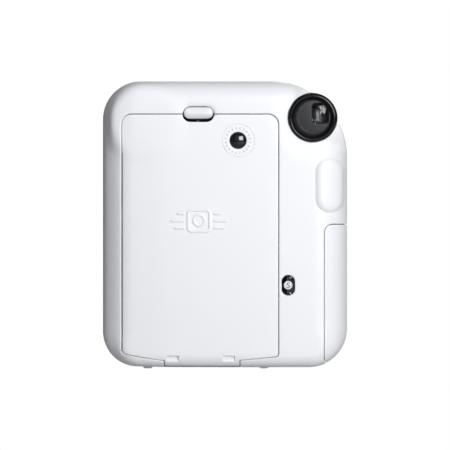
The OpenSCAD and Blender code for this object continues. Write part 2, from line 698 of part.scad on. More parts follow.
module front_lens_cell() color([0.1, 0.1, 0.1]) union() {
    tube_y(lens_x, lens_z, 24.4, 31.9, 9.1, 7.6);
    tube_y(lens_x, lens_z, 24.4, 25.6, barrel_r - 1.9, 9);
}

module front_lens() color([0.6, 0.75, 0.85, 0.5]) intersection() {
    cyl_y(lens_x, lens_z, 27, 31.4, 7.55);
    translate([lens_x, 13.2, lens_z]) sphere(18);
}

module rear_lens_cell() color([0.1, 0.1, 0.1]) union() {
    tube_y(lens_x, lens_z, 16.4, 21.6, 8, 6.4);
    tube_y(lens_x, lens_z, 18.6, 19.95, 13, 7.9);
}

module rear_lens() color([0.6, 0.75, 0.85, 0.5]) intersection() {
    cyl_y(lens_x, lens_z, 17.2, 20.4, 6.35);
    translate([lens_x, 31.6, lens_z]) sphere(14.2);
}

module shutter_plate() color([0.2, 0.2, 0.2]) difference() {
    union() {
        cyl_y(lens_x, lens_z, shutter_y, shutter_y + 0.8, barrel_r - 1.9);
        for (s = [-1, 1]) cyl_y(lens_x, lens_z + s * blade_arm, shutter_y, shutter_y + 2.2, 0.8);
    }
    cyl_y(lens_x, lens_z, 20, 24, 3.2);
}

module shutter_blade(s, y) difference() {
    union() {
        cyl_y(lens_x, lens_z, y, y + 0.25, 4.2);
        cyl_y(lens_x, lens_z + s * blade_arm, y, y + 0.25, 2);
        block([lens_x - 1.6, lens_x + 1.6], [y, y + 0.25],
            [lens_z + min(s, 0) * blade_arm, lens_z + max(s, 0) * blade_arm]);
    }
    cyl_y(lens_x, lens_z + s * blade_arm, y - 1, y + 1, 0.85);
}

module shutter_blade_a() color([0.1, 0.1, 0.1]) shutter_blade(-1, shutter_y + 1);
module shutter_blade_b() color([0.1, 0.1, 0.1]) shutter_blade(1, shutter_y + 1.45);

module shutter_solenoid() color("goldenrod") union() {
    cyl_x(27.75, lens_z - 15, lens_x - 5.5, lens_x + 5.5, 2);
    for (x = [-6, 5]) block([lens_x + x, lens_x + x + 1], [25.65, 29.9], [lens_z - 17.2, lens_z - 12.8]);
}

// ---- shutter button ----

module shutter_button() color("silver") union() {
    intersection() {
        cyl_y(button_x, button_z, 9, 14.6, button_r);
        translate([button_x, -12.4, button_z]) sphere(27);
    }
    cyl_y(button_x, button_z, 8.2, 9.2, button_r + 1.1);
    cyl_y(button_x, button_z, 7.1, 8.3, 1.6);
}

module shutter_button_ring() color("silver") difference() {
    cyl_y(button_x, button_z, front_y - 1.38, front_y + 0.5, 8.7);
    cyl_y(button_x, button_z, front_y - 3, front_y + 2, 6.9);
}

module shutter_button_spring() color("silver")
    coil([button_x, board_y + board_t + 0.25, button_z], "y", 3.45, 2.6, 0.2, 4);

// ---- electronics and flash ----

module main_board() color("darkgreen") block([24, 46], [board_y, board_y + board_t], [66, 96]);

module board_parts() color([0.1, 0.1, 0.1]) {
    y = board_y + board_t + 0.01;
    block([button_x - 1.5, button_x + 1.5], [y, y + 0.9], [button_z - 1.5, button_z + 1.5]);
    block([28, 35], [y, y + 1.2], [84, 91]);
    block([38, 42], [y, y + 1.5], [86, 92]);
    for (z = [68, 80]) block([26, 28.5], [y, y + 2], [z, z + 3]);
}

module flash_window() color([0.85, 0.9, 0.95, 0.6]) intersection() {
    skin(0.1, 1.6);
    along_y(2, front_y) round_rect(flash_x, flash_z, 26, 20, 8);
}

module flash_reflector() color("silver") difference() {
    block([flash_x - 10, flash_x + 10], [2.4, 10.4], [flash_z - 7.5, flash_z + 7.5]);
    cyl_x(11.6, flash_z, flash_x - 9.2, flash_x + 9.2, 7);
    block([flash_x - 9.2, flash_x + 9.2], [10, 12], [flash_z - 6.8, flash_z + 6.8]);
    cyl_x(6.4, flash_z, flash_x - 9.5, flash_x + 9.5, 1.9);
}

module flash_tube() color([0.9, 0.9, 0.95, 0.6]) cyl_x(6.4, flash_z, flash_x - 9.4, flash_x + 9.4, 1.5);

module flash_capacitor() color([0.1, 0.1, 0.15]) union() {
    cyl_x(-4, 12, -33, -7, 5.5);
    cyl_x(-4, 12, -33.6, -33, 4.8);
}

module flash_board() color("darkgreen") block([-42, -18], [0.8, 2], [89, 112]);

module sensor_windows() color([0.1, 0.1, 0.1]) for (x = [-3, 6])
    along_y(front_y - 2.2, front_y - 0.05) pill(x, 104, 5, 3.6);

// ---- fittings ----

module feet() color("white") for (x = foot_x, y = foot_y)
    translate([x, y, 0]) union() {
        cylinder(r1 = 1.5, r2 = 2, h = foot_z / 2);
        translate([0, 0, foot_z / 2 - eps]) cylinder(r = 2, h = foot_z / 2 + eps - 0.005);
    }

module case_screws() color("silver") for (p = boss_at) union() {
    cone_y(p[0], p[1], gate_y + 0.02, gate_y + 1, 2.05, 1.05);
    cyl_y(p[0], p[1], gate_y + 0.5, -4.5, 0.95);
}

module strap_bars() color("silver") for (s = [-1, 1])
    cyl_y(s * (side_x - 1.9), strap_z, strap_y - 4.7, strap_y + 4.7, 0.85);

rear_cover();
front_cover();
film_door();
door_hinge_pin();
latch_button();
latch_spring();
film_window();
pressure_springs();
door_light_seal();
eyepiece_bezel();
eyepiece_lens();
viewfinder_tube();
parallax_frame();
viewfinder_front_bezel();
viewfinder_front_lens();
counter_window();
counter_dial();
battery_door();
battery_door_pin();
battery_box();
battery_cells();
battery_contacts();
film_chamber();
light_tunnel();
film_claw();
roller_bracket();
roller_front();
roller_rear();
idler_gear();
motor_pinion();
drive_motor();
exit_slot_bezel();
exit_light_seal();
barrel_guide();
lens_ring();
lens_barrel();
barrel_face();
front_lens_cell();
front_lens();
rear_lens_cell();
rear_lens();
shutter_plate();
shutter_blade_a();
shutter_blade_b();
shutter_solenoid();
selfie_mirror();
shutter_button();
shutter_button_ring();
shutter_button_spring();
main_board();
board_parts();
flash_window();
flash_reflector();
flash_tube();
flash_capacitor();
flash_board();
sensor_windows();
feet();
case_screws();
strap_bars();
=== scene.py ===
import math

import bmesh
import bpy
import numpy as np
from mathutils.geometry import delaunay_2d_cdt
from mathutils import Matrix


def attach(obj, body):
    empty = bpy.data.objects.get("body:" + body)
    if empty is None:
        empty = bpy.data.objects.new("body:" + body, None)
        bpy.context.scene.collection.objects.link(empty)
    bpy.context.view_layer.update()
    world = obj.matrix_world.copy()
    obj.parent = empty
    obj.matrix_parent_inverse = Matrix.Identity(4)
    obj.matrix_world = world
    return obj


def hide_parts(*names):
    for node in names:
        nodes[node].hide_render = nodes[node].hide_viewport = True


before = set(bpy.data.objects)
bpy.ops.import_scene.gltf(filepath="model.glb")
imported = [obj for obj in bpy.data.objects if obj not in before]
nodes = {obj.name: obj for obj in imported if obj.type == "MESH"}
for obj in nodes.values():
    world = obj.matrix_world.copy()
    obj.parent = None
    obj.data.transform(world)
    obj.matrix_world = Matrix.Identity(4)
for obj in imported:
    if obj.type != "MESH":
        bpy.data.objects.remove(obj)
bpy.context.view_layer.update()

# Lengths are in millimetres until a mesh is made.
MM = 0.001
QUARTER = math.pi / 2

# The body's outline seen from behind: for each corner the way it points, its centre and its radius.
SIDE_X, LOW_Z, TOP_Z = 52.0, 0.8, 122.0
CORNERS = (
    (-1, -1, -37.0, 15.8, 15.0),
    (1, -1, 35.8, 17.0, 16.2),
    (1, 1, 19.5, 89.5, 32.5),
    (-1, 1, -35.8, 105.8, 16.2),
)
LOW_LEFT, LOW_RIGHT, HIGH_RIGHT, HIGH_LEFT = CORNERS
# Each face's height along Y, the way it looks, and the radius of each of its four edges.
REAR = dict(y=-32.0, way=-1, left=13.0, right=14.0, low=5.0, high=9.0)
FRONT = dict(y=13.0, way=1, left=14.0, right=14.0, low=9.0, high=13.0)
PARTING_Y = -6.0
WALL = 2.0
SEAM = 0.3
LENS = np.array([-10.8, 50.0])
EYE = np.array([37.1, 106.4])
WINDOW = np.array([5.5, 96.75])
LATCH = np.array([-11.3, 107.9])
COUNTER = np.array([26.8, 35.4])
FLASH = np.array([-31.0, 101.0])
BUTTON = np.array([35.5, 74.0])
SENSORS = ((-3, 104), (6, 104))
EMBLEM = np.array([-11.0, 62.7])
STRAP_Y, STRAP_Z = 1.0, 80.0
LATCH_REACH = 3.4
REARWARD = (0.0, -1.0, 0.0)


# ---- flat outlines ----


def rounded_path(corners, radii, step, closed=True):
    """Points along a polygon whose corners are replaced by arcs: each arc has its own radius and
    touches both sides, and straight runs are divided into equal steps."""
    c = np.asarray(corners, float)
    n = len(c)
    radii = np.broadcast_to(radii, n)
    stops = []
    for k in range(n):
        if not closed and k in (0, n - 1):
            stops.append(c[k : k + 1])
            continue
        back, ahead = c[k - 1] - c[k], c[(k + 1) % n] - c[k]
        lb, la = np.linalg.norm(back), np.linalg.norm(ahead)
        back, ahead = back / lb, ahead / la
        half = math.acos(np.clip(back @ ahead, -1, 1)) / 2
        if radii[k] < 1e-6 or half > QUARTER - 1e-3:
            stops.append(c[k : k + 1])
            continue
        share_b = radii[k] / (radii[k] + radii[k - 1])
        share_a = radii[k] / (radii[k] + radii[(k + 1) % n])
        reach = min(radii[k] / math.tan(half), 0.99 * lb * share_b, 0.99 * la * share_a)
        r = reach * math.tan(half)
        mid = (back + ahead) / np.linalg.norm(back + ahead)
        centre = c[k] + mid * r / math.sin(half)
        p0, p1 = c[k] + back * reach - centre, c[k] + ahead * reach - centre
        a0 = math.atan2(p0[1], p0[0])
        turn = math.atan2(p0[0] * p1[1] - p0[1] * p1[0], p0 @ p1)
        a = a0 + turn * np.linspace(0, 1, max(4, int(abs(turn) * r / step * 1.6) + 2))
        stops.append(centre + r * np.stack([np.cos(a), np.sin(a)], 1))
    run = []
    for k in range(n if closed else n - 1):
        run.append(stops[k])
        a, b = stops[k][-1], stops[(k + 1) % n][0]
        m = int(np.linalg.norm(b - a) / step)
        if m > 1:
            run.append(a + (b - a) * np.linspace(0, 1, m + 1)[1:-1, None])
    if not closed:
        run.append(stops[-1])
    return tidy(np.concatenate(run), closed)


def tidy(path, closed=True):
    """The path without points that repeat the one before."""
    gap = np.linalg.norm(path - np.roll(path, 1, 0), axis=1)
    keep = gap > 1e-4
    if not closed:
        keep[0] = True
    return path[keep]


def circle(centre, r, n):
    """n points round a circle, anticlockwise."""
    a = np.arange(n) * 2 * math.pi / n
    return np.asarray(centre) + r * np.stack([np.cos(a), np.sin(a)], 1)


def box_path(centre, w, h, r, step=0.6):
    """A closed rounded rectangle about a centre, anticlockwise."""
    w, h = w / 2, h / 2
    c = np.array([[-w, -h], [w, -h], [w, h], [-w, h]]) + centre
    return rounded_path(c, min(r, w, h), step)


def grow(loop, d):
    """The closed anticlockwise loop moved outwards by d along each point's normal."""
    t = np.roll(loop, -1, 0) - np.roll(loop, 1, 0)
    t /= np.linalg.norm(t, axis=1)[:, None]
    return loop + d * np.stack([t[:, 1], -t[:, 0]], 1)


def anticlockwise(loop):
    """The loop in anticlockwise order. Twice its area is the sum, over each point and the next, of
    the first x times the second z less the second x times the first z."""
    x, z = loop.T
    area = (x * np.roll(z, -1) - np.roll(x, -1) * z).sum()
    return loop if area > 0 else loop[::-1]


def inside(points, loop):
    """Even-odd test of many points against a closed loop."""
    x, z = points[:, 0][:, None], points[:, 1][:, None]
    x0, z0 = loop.T
    x1, z1 = np.roll(loop, -1, 0).T
    cross = (z0 > z) != (z1 > z)
    rise = np.where(z1 == z0, 1e-9, z1 - z0)
    return (cross & (x < x0 + (z - z0) / rise * (x1 - x0))).sum(1) % 2 == 1


def near(points, others):
    """Distance from each point to the closest of the others."""
    best = np.full(len(points), 1e9)
    for part in np.array_split(others, max(1, len(others) // 400)):
        d = points[:, None] - part[None]
        best = np.minimum(best, np.sqrt((d**2).sum(2).min(1)))
    return best


# ---- the rolled sheet: one flat domain for a face, its rounded edges and its side walls ----


def rim(at, face):
    """For each point of the flat domain: the closest point of the flat face's rim, the way out
    from it, the edge radius there, and how far past the rim the point lies."""
    p, q = at[:, 0], at[:, 1]
    out = np.full(len(at), -1e9)
    a, n, r = at.copy(), np.zeros_like(at), np.full(len(at), 5.0)
    for axis, way, edge, rim_at in (
        (0, -1, face["left"], -SIDE_X + face["left"]),
        (0, 1, face["right"], SIDE_X - face["right"]),
        (1, -1, face["low"], LOW_Z + face["low"]),
        (1, 1, face["high"], TOP_Z - face["high"]),
    ):
        d = way * (at[:, axis] - rim_at)
        better = d > out
        out = np.where(better, d, out)
        r = np.where(better, edge, r)
        for k in (0, 1):
            a[:, k] = np.where(better, rim_at if k == axis else at[:, k], a[:, k])
            n[:, k] = np.where(better, way if k == axis else 0, n[:, k])
    for sx, sz, cx, cz, big in CORNERS:
        u, v = sx * (p - cx), sz * (q - cz)
        here = (u > 0) & (v > 0)
        rho = np.maximum(np.hypot(u, v), 1e-9)
        c, s = u / rho, v / rho
        edge = face["right" if sx > 0 else "left"] * c**2 + face[
            "high" if sz > 0 else "low"
        ] * s**2
        out = np.where(here, rho - (big - edge), out)
        r = np.where(here, edge, r)
        n[:, 0] = np.where(here, sx * c, n[:, 0])
        n[:, 1] = np.where(here, sz * s, n[:, 1])
        a[:, 0] = np.where(here, cx + sx * c * (big - edge), a[:, 0])
        a[:, 1] = np.where(here, cz + sz * s * (big - edge), a[:, 1])
    return a, n, r, out


def roll(at, face):
    """Point and outward normal of the body for each point of the flat domain. Up to the rim the
    sheet is flat. Past it the distance runs round a quarter circle and then along the side wall."""
    a, n, r, out = rim(at, face)
    s = np.maximum(out, 0)
    turn = np.minimum(s / r, QUARTER)
    run = np.maximum(s - r * QUARTER, 0)
    past = (out > 0)[:, None]
    xz = np.where(past, a + n * (r * np.sin(turn))[:, None], at)
    y = face["y"] - face["way"] * (r * (1 - np.cos(turn)) + run)
    nxz = n * np.sin(turn)[:, None] * past
    normal = np.stack([nxz[:, 0], face["way"] * np.cos(turn), nxz[:, 1]], 1)
    return np.stack([xz[:, 0], y, xz[:, 1]], 1), normal


def from_seen(xz, face):
    """Domain points of places given by X and Z as seen square-on."""
    xz = np.atleast_2d(np.asarray(xz, float))
    a, n, r, out = rim(xz, face)
    s = r * np.arcsin(np.clip(out / r, 0, 1))
    return np.where((out > 0)[:, None], a + n * s[:, None], xz)


def from_side(xz, y, face):
    """Domain points of places on the outline, given by their Y."""
    a, n, r, _ = rim(np.asarray(xz, float), face)
    drop = face["way"] * (face["y"] - y)
    s = np.where(
        drop < r,
        r * np.arccos(np.clip(1 - drop / r, -1, 1)),
        r * QUARTER + drop - r,
    )
    return a + n * s[:, None]


# lengths of the outline's straight runs and arcs, from the left end of the bottom edge
RUNS = (
    LOW_RIGHT[2] - LOW_LEFT[2], LOW_RIGHT[4] * QUARTER,
    HIGH_RIGHT[3] - LOW_RIGHT[3], HIGH_RIGHT[4] * QUARTER,
    HIGH_RIGHT[2] - HIGH_LEFT[2], HIGH_LEFT[4] * QUARTER,
    HIGH_LEFT[3] - LOW_LEFT[3], LOW_LEFT[4] * QUARTER,
)
ROUND = sum(RUNS)


def outline_at(s):
    """Points of the outline at distances s from the left end of the bottom edge, going right."""
    s = np.mod(s, ROUND)
    x, z = np.zeros_like(s), np.zeros_like(s)
    start = np.cumsum((0,) + RUNS)
    lines = {
        0: lambda t: (LOW_LEFT[2] + t, LOW_Z + 0 * t),
        2: lambda t: (SIDE_X + 0 * t, LOW_RIGHT[3] + t),
        4: lambda t: (HIGH_RIGHT[2] - t, TOP_Z + 0 * t),
        6: lambda t: (-SIDE_X + 0 * t, HIGH_LEFT[3] - t),
    }
    arcs = {1: (1, -QUARTER), 3: (2, 0.0), 5: (3, QUARTER), 7: (0, math.pi)}
    for k in range(8):
        here = (s >= start[k]) & (s < start[k + 1] + 1e-9)
        t = s - start[k]
        if k in lines:
            px, pz = lines[k](t)
        else:
            corner, a0 = arcs[k]
            _, _, cx, cz, big = CORNERS[corner]
            px, pz = cx + big * np.cos(a0 + t / big), cz + big * np.sin(a0 + t / big)
        x, z = np.where(here, px, x), np.where(here, pz, z)
    return np.stack([x, z], 1)


# ---- meshes ----

# a distance from an edge at which no rounding is left
FAR = 9.0


def fill(outer, holes, step, rows, rings=()):
    """Triangles over the area inside the outer loop and outside the holes: a grid of points, with
    rows of points along every edge so that the edge can be rounded, and points along the rings
    where the shape turns fast. Returns the points, the triangles and each point's distance from
    the closest edge, which is FAR off the rows."""
    outer = anticlockwise(outer)
    holes = [anticlockwise(h) for h in holes]
    points, edges, away = [], [], []
    count = 0
    for loop, way in [(outer, -1)] + [(h, 1) for h in holes]:
        n = len(loop)
        k = np.arange(n)
        edges.append(np.stack([count + k, count + (k + 1) % n], 1))
        points.append(loop)
        away.append(np.zeros(n))
        count += n
        for d in rows[1:]:
            row = grow(loop, way * d)
            points.append(row)
            away.append(np.full(n, d))
            count += n
    hard = np.concatenate([outer] + holes)
    rest = list(rings)
    lo, hi = outer.min(0), outer.max(0)
    gx, gz = np.meshgrid(np.arange(lo[0], hi[0], step), np.arange(lo[1], hi[1], step))
    gx[1::2] += step / 2
    grid = np.stack([gx.ravel(), gz.ravel()], 1)
    grid = grid[near(grid, hard) > rows[-1] + 0.5 * step]
    if rest:
        grid = grid[near(grid, np.concatenate(rest)) > 0.45 * step]
        rest = [r[near(r, hard) > rows[-1] + 0.12] for r in rest]
    more = np.concatenate([grid] + rest)
    keep = inside(more, outer)
    for h in holes:
        keep &= ~inside(more, h)
    more = more[keep]
    points.append(more)
    away.append(np.full(len(more), FAR))
    points, away = np.concatenate(points), np.concatenate(away)
    co, _, tri, source, _, _ = delaunay_2d_cdt(
        points.tolist(), np.concatenate(edges).tolist(), [], 0, 1e-5
    )
    co = np.array(co)
    tri = np.array([t for t in tri if len(t) == 3])
    away = away[np.array([s[0] if s else 0 for s in source])]
    mid = co[tri].mean(1)
    keep = inside(mid, outer)
    for h in holes:
        keep &= ~inside(mid, h)
    return co, tri[keep], away


def rounding(away, r):
    """How far a quarter-round edge of radius r drops at each distance from the edge."""
    t = np.clip(r - away, 0, r)
    return r - np.sqrt(np.maximum(r * r - t * t, 0))


def make(name, points, faces, crease=35):
    """A mesh object from points in millimetres, with its normals outwards and its smooth areas
    divided where it turns by more than the crease angle."""
    mesh = bpy.data.meshes.new(name)
    mesh.from_pydata((np.asarray(points) * MM).tolist(), [], [tuple(f) for f in faces])
    work = bmesh.new()
    work.from_mesh(mesh)
    bmesh.ops.remove_doubles(work, verts=work.verts, dist=2e-7)
    bmesh.ops.recalc_face_normals(work, faces=work.faces)
    work.to_mesh(mesh)
    work.free()
    mesh.shade_smooth()
    mesh.set_sharp_from_angle(angle=math.radians(crease))
    obj = bpy.data.objects.new(name, mesh)
    bpy.context.scene.collection.objects.link(obj)
    return obj


def piece(obj, body, material, *stands_for, slot=None):
    """Gives the piece its finish, ties it to its body, and hides the parts that it stands for. The
    slot is not used."""
    obj.data.materials.append(material)
    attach(obj, body)
    if stands_for:
        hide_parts(*stands_for)
    return obj


def merged(parts):
    """Several (points, faces) pairs as one pair."""
    points, faces, n = [], [], 0
    for p, f in parts:
        points.append(np.asarray(p))
        faces += [tuple(int(i) + n for i in face) for face in f]
        n += len(p)
    return np.concatenate(points), faces


def walled(name, outer_skin, inner_skin, tri):
    """A closed wall between two skins that share their triangles, with its open edges joined."""
    n = len(outer_skin)
    pairs = np.concatenate([tri[:, [0, 1]], tri[:, [1, 2]], tri[:, [2, 0]]])
    key = np.sort(pairs, 1)
    _, first, count = np.unique(key, axis=0, return_index=True, return_counts=True)
    edge = pairs[first[count == 1]]
    sides = np.stack([edge[:, 1], edge[:, 0], edge[:, 0] + n, edge[:, 1] + n], 1)
    faces = tri.tolist() + (tri[:, ::-1] + n).tolist() + sides.tolist()
    return make(name, np.concatenate([outer_skin, inner_skin]), faces)


def grid_faces(rows, columns, wrap_rows=False):
    """Quads of a grid of points whose rows are closed. The last row can be joined to the first."""
    i, j = np.meshgrid(
        np.arange(rows if wrap_rows else rows - 1), np.arange(columns), indexing="ij"
    )
    i2, j2 = (i + 1) % rows, (j + 1) % columns
    return (
        np.stack([i * columns + j, i * columns + j2, i2 * columns + j2, i2 * columns + j], -1)
        .reshape(-1, 4)
        .tolist()
    )


def spun(profile, centre, turns=96, axis="y", closed=True):
    """A profile of (radius, height) turned about an axis. A closed profile gives a ring. An open
    one starts and ends on the axis, where its rows become single poles."""
    profile = np.asarray(profile, float)
    a = np.arange(turns) * 2 * math.pi / turns
    body = profile if closed else profile[1:-1]
    r, h = body[:, 0][:, None], body[:, 1][:, None]
    u, v, w = r * np.cos(a), r * np.sin(a), h + 0 * a
    points = np.stack([u.ravel(), v.ravel(), w.ravel()], 1)
    faces = grid_faces(len(body), turns, wrap_rows=closed)
    if not closed:
        n = len(points)
        points = np.concatenate([points, [[0, 0, profile[0, 1]], [0, 0, profile[-1, 1]]]])
        k = np.arange(turns)
        faces += np.stack([k, (k + 1) % turns, np.full(turns, n)], 1).tolist()
        last = (len(body) - 1) * turns
        faces += np.stack([last + (k + 1) % turns, last + k, np.full(turns, n + 1)], 1).tolist()
    u, v, w = points.T
    if axis == "y":
        points = np.stack([centre[0] + u, w, centre[1] + v], 1)
    elif axis == "z":
        points = np.stack([centre[0] + u, centre[1] + v, w], 1)
    else:
        points = np.stack([w, centre[0] + u, centre[1] + v], 1)
    return points, faces


def carried(path, normal, profile, closed=True, taper=0.0):
    """A profile of (across, up) carried along a path in space: across is the path's side, up is the
    given normal. At the ends of an open path the profile shrinks to a point over the taper."""
    path = np.asarray(path, float)
    normal = np.broadcast_to(np.asarray(normal, float), path.shape)
    if closed:
        along = np.roll(path, -1, 0) - np.roll(path, 1, 0)
    else:
        along = np.gradient(path, axis=0)
    along /= np.linalg.norm(along, axis=1)[:, None]
    side = np.cross(along, normal)
    side /= np.linalg.norm(side, axis=1)[:, None]
    profile = np.asarray(profile, float)
    size = np.ones(len(path))
    if not closed and taper > 0:
        s = np.r_[0, np.cumsum(np.linalg.norm(np.diff(path, axis=0), axis=1))]
        e = np.minimum(s, s[-1] - s)
        size = np.sqrt(np.clip(1 - (1 - np.clip(e / taper, 0, 1)) ** 2, 0.0004, 1))
    points = (
        path[:, None]
        + side[:, None] * (profile[:, 0] * size[:, None])[..., None]
        + normal[:, None] * (profile[:, 1] * size[:, None])[..., None]
    )
    faces = grid_faces(len(path), len(profile), wrap_rows=closed)
    if not closed:
        n = len(profile)
        faces.append(list(range(n))[::-1])
        faces.append(list(range((len(path) - 1) * n, len(path) * n)))
    return points.reshape(-1, 3), faces


def oval(across, up, count=10):
    """Points round an oval section, given by its two radii."""
    b = np.arange(count) * 2 * math.pi / count
    return np.stack([across * np.cos(b), up * np.sin(b)], 1)


# ---- finishes ----

# places of the colour sockets on a mix node
COLOUR_A, COLOUR_B, COLOUR_OUT = 6, 7, 2


def new_group(name, inputs, outputs):
    """A shader group with named inputs and outputs, and the two nodes that carry them."""
    group = bpy.data.node_groups.new(name, "ShaderNodeTree")
    for label, kind, value in inputs:
        sock = group.interface.new_socket(label, in_out="INPUT", socket_type=kind)
        if value is not None:
            sock.default_value = value
    for label, kind in outputs:
        group.interface.new_socket(label, in_out="OUTPUT", socket_type=kind)
    return group, group.nodes.new("NodeGroupInput"), group.nodes.new("NodeGroupOutput")


def node(tree, kind, **values):
    """A node with its properties and its unlinked inputs set by name."""
    n = tree.nodes.new(kind)
    for key, value in values.items():
        if key in n.bl_rna.properties:
            setattr(n, key, value)
        else:
            n.inputs[key.replace("_", " ")].default_value = value
    return n


def math_node(tree, operation, a, b=None, clamp=False):
    """The result of a math node whose inputs are numbers or other nodes' outputs."""
    n = tree.nodes.new("ShaderNodeMath")
    n.operation, n.use_clamp = operation, clamp
    for k, value in enumerate((a, b)):
        if value is None:
            continue
        if isinstance(value, (int, float)):
            n.inputs[k].default_value = value
        else:
            tree.links.new(value, n.inputs[k])
    return n.outputs[0]


def make_grain():
    """Height of a spark-eroded mould texture: a fine noise over a coarser one."""
    g, i, o = new_group(
        "moulded_grain",
        (("Vector", "NodeSocketVector", None), ("Size", "NodeSocketFloat", 0.3)),
        (("Height", "NodeSocketFloat"),),
    )
    per_mm = math_node(g, "DIVIDE", 1000.0, i.outputs["Size"])
    fine = node(g, "ShaderNodeTexNoise", Detail=3.0, Roughness=0.6)
    coarse = node(g, "ShaderNodeTexNoise", Detail=1.0, Roughness=0.5)
    for n, factor in ((fine, 1.0), (coarse, 0.23)):
        g.links.new(i.outputs["Vector"], n.inputs["Vector"])
        g.links.new(math_node(g, "MULTIPLY", per_mm, factor), n.inputs["Scale"])
    total = math_node(
        g, "ADD", fine.outputs["Fac"], math_node(g, "MULTIPLY", coarse.outputs["Fac"], 0.8)
    )
    g.links.new(total, o.inputs["Height"])
    return g


def make_wear_and_shade():
    """Masks of rubbed edges, where the shape turns outwards, and of painted shade in inner corners.
    """
    g, i, o = new_group(
        "edge_wear_and_corner_shade",
        (("Vector", "NodeSocketVector", None), ("Amount", "NodeSocketFloat", 0.5)),
        (("Rubbed", "NodeSocketFloat"), ("Corner_shade", "NodeSocketFloat")),
    )
    geometry = g.nodes.new("ShaderNodeNewGeometry")
    patchy = node(g, "ShaderNodeTexNoise", Scale=420.0, Detail=4.0)
    g.links.new(i.outputs["Vector"], patchy.inputs["Vector"])
    point = geometry.outputs["Pointiness"]
    # Rubbed lightens where the surface turns outwards, which is wear; the second mask darkens where
    # it turns inwards, which is painted shade in creases and corners.
    for label, lo, hi in (("Rubbed", 0.52, 0.62), ("Corner_shade", 0.48, 0.40)):
        ramp = node(g, "ShaderNodeMapRange", interpolation_type="SMOOTHSTEP")
        ramp.inputs["From Min"].default_value = lo
        ramp.inputs["From Max"].default_value = hi
        g.links.new(point, ramp.inputs["Value"])
        spots = math_node(g, "MULTIPLY", ramp.outputs[0], patchy.outputs["Fac"])
        g.links.new(
            math_node(g, "MULTIPLY", spots, i.outputs["Amount"], clamp=True), o.inputs[label]
        )
    return g


def make_handling():
    """Slow changes over the surface from moulding and from hands: a tone and a smear, 0 to 1."""
    g, i, o = new_group(
        "handling",
        (("Vector", "NodeSocketVector", None), ("Spread", "NodeSocketFloat", 25.0)),
        (("Tone", "NodeSocketFloat"), ("Smear", "NodeSocketFloat")),
    )
    for label, factor, detail in (("Tone", 1.0, 3.0), ("Smear", 3.1, 6.0)):
        n = node(g, "ShaderNodeTexNoise", Detail=detail, Roughness=0.55)
        g.links.new(i.outputs["Vector"], n.inputs["Vector"])
        per = math_node(g, "DIVIDE", 1000.0 * factor, i.outputs["Spread"])
        g.links.new(per, n.inputs["Scale"])
        g.links.new(n.outputs["Fac"], o.inputs[label])
    return g


GRAIN, WEAR_AND_SHADE, HANDLING = make_grain(), make_wear_and_shade(), make_handling()


def finish(
    name,
    colour,
    tone=None,
    rough=0.4,
    rough_spread=0.08,
    grain=0.3,
    bump=0.01,
    wear_and_shade=0.4,
    rubbed=None,
    corner_shade=None,
    metal=0.0,
    coat=0.0,
    spread=25.0,
    **sockets,
):
    """A moulded or turned finish. Colour drifts between two tones, rubbed edges and painted shade in
    the inner corners show through masks, roughness follows hand smears, and the grain lifts the
    surface."""
    mat = bpy.data.materials.new(name)
    mat.use_nodes = True
    t = mat.node_tree
    shader = t.nodes["Principled BSDF"]
    where = t.nodes.new("ShaderNodeTexCoord").outputs["Object"]
    hands = node(t, "ShaderNodeGroup", node_tree=HANDLING)
    hands.inputs["Spread"].default_value = spread
    edges = node(t, "ShaderNodeGroup", node_tree=WEAR_AND_SHADE)
    edges.inputs["Amount"].default_value = wear_and_shade
    grains = node(t, "ShaderNodeGroup", node_tree=GRAIN)
    grains.inputs["Size"].default_value = grain
    for n in (hands, edges, grains):
        t.links.new(where, n.inputs["Vector"])
    tone = tone or [c * 0.93 for c in colour]
    rubbed = rubbed or [min(1.0, c * 1.3 + 0.02) for c in colour]
    # Painted shade for the inner corners: unless it is given, this colour is a darker copy of the
    # base colour.
    corner_shade = corner_shade or [c * 0.55 for c in colour]
    last = None
    for factor, dark in (
        (hands.outputs["Tone"], tone),
        (edges.outputs["Rubbed"], rubbed),
        (edges.outputs["Corner_shade"], corner_shade),
    ):
        mix = node(t, "ShaderNodeMix", data_type="RGBA")
        t.links.new(factor, mix.inputs["Factor"])
        if last is None:
            mix.inputs[COLOUR_A].default_value = (*colour, 1)
        else:
            t.links.new(last, mix.inputs[COLOUR_A])
        mix.inputs[COLOUR_B].default_value = (*dark, 1)
        last = mix.outputs[COLOUR_OUT]
    t.links.new(last, shader.inputs["Base Color"])
    r = node(t, "ShaderNodeMapRange")
    r.inputs["To Min"].default_value = max(0.02, rough - rough_spread)
    r.inputs["To Max"].default_value = rough + rough_spread
    t.links.new(hands.outputs["Smear"], r.inputs["Value"])
    t.links.new(r.outputs[0], shader.inputs["Roughness"])
    raised = node(t, "ShaderNodeBump", Strength=1.0, Distance=bump * MM)
    t.links.new(grains.outputs["Height"], raised.inputs["Height"])
    t.links.new(raised.outputs[0], shader.inputs["Normal"])
    shader.inputs["Metallic"].default_value = metal
    shader.inputs["Coat Weight"].default_value = coat
    for key, value in sockets.items():
        shader.inputs[key.replace("_", " ")].default_value = value
    return mat


